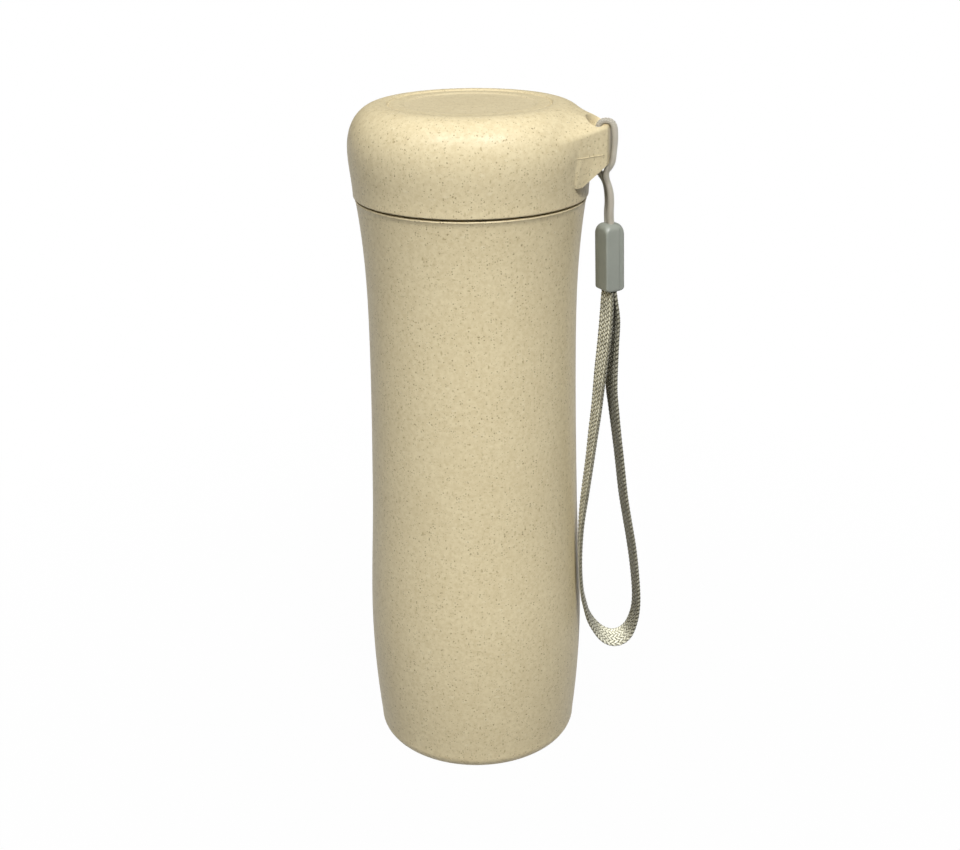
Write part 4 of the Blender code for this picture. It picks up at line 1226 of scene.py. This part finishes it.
def cordRoute():
    aside = (cord["diameter"] + cup["gap"]) / 2
    middle = clipSizes()[3]
    ends = []
    for side in (1, -1):
        heights = (clip["height"] - cord["inClip"], clip["height"] + 0.3 * mm)
        ends.append([clipPlace(side * aside, middle, height) for height in heights])
    around = [Vector((lugEnd + x * mm, y * mm, cordFoot + z * mm)) for x, y, z in cordRows]
    return ends[0] + around + ends[1][::-1]


def steadyAcross(path):
    # a direction across the path that doesn't twist
    tangent = unit(np.gradient(path, axis=0))
    side = np.cross(tangent[0], (0.0, 0.0, 1.0))
    result = []
    for here in tangent:
        side = side - here * side.dot(here)
        side = side / np.linalg.norm(side)
        result.append(side)
    return np.array(result)


cordLook = {
    "color": (0.590, 0.550, 0.460, 1.0),
    "deep": (0.280, 0.255, 0.195, 1.0),
    "pale": (0.740, 0.700, 0.610, 1.0),
    # dark colour of the core: painted shade seen through the braid's gaps
    "core": (0.300, 0.270, 0.200, 1.0),
    "half": 0.2,  # millimetres to a yarn's edge, which is darkened with painted shade
    "roughness": 0.55,
    "crest": 0.5,  # painted highlight: how pale the highest yarns are
    "inner": 0.0,  # painted shade: how dark the inner face of the loop is
    "levelLight": 0.1,  # painted light: how pale the lying part is
}


def makeCord():
    path, _ = pathOf(cordRoute(), 0.4 * mm)
    across = steadyAcross(path)
    size = cord["loose"]
    core = size * cord["core"]
    braided = braid("cordLoop", path, across, cord, size, size, yarnFinish("cordYarn", cordLook))
    inner = filler("cordCore", path, across, core, core, coreFinish("cordCore", cordLook["core"]))
    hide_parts("cord_loop")
    for piece in (braided, inner):
        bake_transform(piece)


# Route of the strap: way out, way across, drop from the clip's foot, turn and tilt of its width

strapRows = [
    (-0.6, -0.4, -7.9, -61, 0), (-1.1, -0.4, -15.3, -62, 0), (-1.8, -0.4, -22.6, -65, 0),
    (-2.7, -0.3, -34.2, -70, 0), (-3.5, -0.3, -41.7, -73, 0), (-4.3, -0.4, -49.7, -77, 0),
    (-5.55, -0.6, -60.6, -80, 0), (-6.35, -0.8, -68.2, -85, 0), (-6.6, -0.8, -75.9, -90, 0),
    (-6.45, -0.8, -84.1, -93, 0), (-5.8, -0.6, -92.1, -93, -2), (-4.95, -0.4, -96.1, -92, -6),
    (-3.8, -0.2, -100.2, -91, -12), (-1.7, 0.0, -104.0, -90, -20), (0.7, 0.0, -106.6, -90, -28),
    (3.3, 0.0, -107.8, -90, -34), (5.8, 0.0, -107.4, -88, -38), (7.9, 0.0, -105.5, -85, -36),
    (9.3, 0.0, -102.3, -81, -28), (10.1, 0.0, -98.3, -78, -16), (10.2, 0.0, -93.3, -76, -6),
    (9.35, 0.0, -84.3, -74, 0), (8.2, 0.0, -76.2, -72, 0), (6.8, 0.0, -68.4, -72, 0),
    (5.5, 0.1, -60.8, -72, 0), (4.15, 0.2, -50.0, -72, 0), (3.1, 0.3, -42.0, -71, 0),
    (2.15, 0.4, -34.5, -68, 0), (1.4, 0.5, -28.0, -64, 0), (1.35, 0.5, -15.6, -60, 0),
    (1.45, 0.55, -8.1, -59, 0),
]


def strapRoute():
    turn = radians(loopTurn)
    along = Vector((cos(turn), sin(turn), 0.0))
    aside = Vector((-sin(turn), cos(turn), 0.0))
    foot = clipPlace(0.0, 0.0, 0.0)
    layer = (strap["thickness"] + cup["gap"]) / 2
    pocket = clipSizes()[3]
    ends = []
    for side in (1, -1):
        places = []
        for height in (clip["strapPocket"] - cup["gap"], 5.0 * mm, -1.5 * mm):
            place = clipPlace(0.0, pocket + side * layer, height)
            places.append((place, loopTurn + clip["turn"], 0))
        ends.append(places)
    middle = []
    for out, across, drop, width, tilt in strapRows:
        offset = along * (out * mm) + aside * (across * mm) + Vector((0.0, 0.0, drop * mm))
        middle.append((foot + offset, loopTurn + width, tilt))
    return ends[0] + middle + ends[1][::-1]


strapLook = {
    "color": (0.335, 0.312, 0.210, 1.0),
    "deep": (0.095, 0.084, 0.050, 1.0),
    "pale": (0.860, 0.840, 0.670, 1.0),
    # dark colour of the core: painted shade seen through the braid's gaps
    "core": (0.130, 0.115, 0.070, 1.0),
    # millimetres to a yarn's edge, which is darkened with painted shade
    "half": 0.36,
    "roughness": 0.36,
    # painted highlight: how pale the highest yarns are
    "crest": 0.95,
    # painted shade: how dark the inner face of the loop is
    "inner": 0.66,
    # painted light: how pale the lying part is
    "levelLight": 0.55,
}


def makeStrap():
    route = strapRoute()
    path, lengths = pathOf([place for place, _, _ in route], 1.0 * mm)
    turns = [(s, turn) for s, (_, turn, _) in zip(lengths, route)]
    tilts = [(s, tilt) for s, (_, _, tilt) in zip(lengths, route)]
    turnSlopes, tiltSlopes = slopesOf(turns), slopesOf(tilts)
    across, widths = [], []
    footHeight = clipTop - clip["height"]
    for k, place in enumerate(path):
        here = lengths[-1] * k / (len(path) - 1)
        turn = radians(smoothValue(turns, turnSlopes, here))
        tilt = radians(smoothValue(tilts, tiltSlopes, here))
        across.append(polar(cos(tilt), turn, sin(tilt)))
        held = easeStep((place[2] - footHeight + strap["heldBelow"]) / strap["heldFade"])
        widths.append(1.0 - held * strap["squeeze"] / strap["width"])
    across, widths = np.array(across), np.array(widths)
    width, thickness = strap["width"], strap["thickness"]
    yarn, core = yarnFinish("strapYarn", strapLook), coreFinish("strapCore", strapLook["core"])
    braided = braid("strapBraid", path, across, strap, width, thickness, yarn, widths)
    inner = filler(
        "strapCore", path, across, width * strap["coreWidth"], thickness * strap["coreThickness"],
        core, widths)
    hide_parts("strap_loop")
    for piece in (braided, inner):
        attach(piece, "lanyard")


# Floor, world and lamps

def addFloor():
    finish = newFinish("paleFloor")
    place = objectPlace(finish)
    grain = noiseOf(finish, place, 0.02, 3.0)
    pale = blendColors(finish, grain, (0.33, 0.33, 0.33, 1.0), (0.35, 0.35, 0.35, 1.0))
    shaderOf(finish, {"Base Color": pale, "Roughness": 0.9, "Specular IOR Level": 0.1})
    rays = addNode(finish, "LightPath").outputs
    seen = calc(finish, "MAXIMUM", rays["Is Camera Ray"], rays["Is Glossy Ray"])
    seen = calc(finish, "MAXIMUM", seen, rays["Is Transmission Ray"])
    white = addNode(finish, "Emission", {"Color": (1.0, 1.0, 1.0, 1.0), "Strength": 1.0}).outputs[0]
    spread = addNode(finish, "VectorMath", {0: place}, operation="LENGTH").outputs["Value"]
    far = stretchTo(finish, spread, 0.06, 0.30, light["floorNear"], 1.0)
    share = calc(finish, "MULTIPLY", far, seen)
    floorNodes = finish.node_tree.nodes
    surface = floorNodes["Principled BSDF"].outputs[0]
    mix = addNode(finish, "MixShader", {0: share, 1: surface, 2: white}).outputs[0]
    setSockets(finish, floorNodes["Material Output"], {"Surface": mix})
    half = 4.0
    corners = [(-half, -half, 0), (half, -half, 0), (half, half, 0), (-half, half, 0)]
    meshPiece("floor", corners, [(0, 1, 2, 3)], finish, None)


def addWorld():
    world = bpy.data.worlds.new("studio")
    bpy.context.scene.world = world
    world.use_nodes = True
    turn = radians(view["turn"])
    way = addNode(world, "TexCoord").outputs["Generated"]
    right = (cos(turn), sin(turn), 0.0)
    product = addNode(world, "VectorMath", {0: way, 1: right}, operation="DOT_PRODUCT")
    side = product.outputs["Value"]
    level = stretchTo(world, side, 0.25, 0.75, light["ambient"], light["shadedSide"])
    level = calc(world, "MULTIPLY", level, stretchTo(world, side, -0.95, -0.40, 0.35, 1.0))
    rays = addNode(world, "LightPath").outputs
    seen = calc(world, "MAXIMUM", rays["Is Camera Ray"], rays["Is Transmission Ray"])
    strength = addNode(world, "Mix", {0: seen, 2: level, 3: 1.0}).outputs[0]
    setSockets(world, world.node_tree.nodes["Background"], {
        "Color": (1.0, 1.0, 1.0, 1.0), "Strength": strength})


def addLamp(name, azimuth, elevation, distance, size, share, mirrored):
    lamp = bpy.data.lights.new(name, "AREA")
    lamp.shape = "DISK"
    lamp.size = size
    lamp.energy = share * (pi * distance) ** 2
    around, up = radians(azimuth + view["turn"]), radians(elevation)
    way = Vector((sin(around) * cos(up), -cos(around) * cos(up), sin(up)))
    piece = addObject(name, lamp)
    piece.location = Vector((0.0, 0.0, light["aim"])) + way * distance
    piece.rotation_euler = way.to_track_quat("Z", "Y").to_euler()
    piece.visible_camera = False
    piece.visible_glossy = mirrored


addCamera()
addFloor()
addWorld()
for row in lampRows:
    addLamp(*row)
bpy.context.scene.view_settings.view_transform = "Standard"
print("camera, floor and light")

makeCupShell(strawFinish("strawShell"))
print("cup shell")
mattShadePart = (lidTop - lid["mattShadeDrop"], lid["dishFloorRadius"] + lid["mattShadeRim"])
makeLidCover(strawFinish("strawLid", mattShadedTop=mattShadePart))
print("lid cover")
makeClip(clipFinish("clipPlastic"))
print("clip")
makeCord()
print("cord")
makeStrap()
print("strap")

nodeFinishes = {
    "glass_liner": clearFinish("liner"),
    "base_cushion": siliconeFinish("cushion"),
    "neck_ring": siliconeFinish("ring"),
    "lid_seal": siliconeFinish("seal"),
    "neck_collar": strawFinish("strawCollar"),
    "lid_insert": strawFinish("strawInsert", 0.5, straw["insert"]),
}
for node, finish in nodeFinishes.items():
    for materialSlot in nodes[node].material_slots:
        materialSlot.material = finish
print("finishes on the inner pieces")
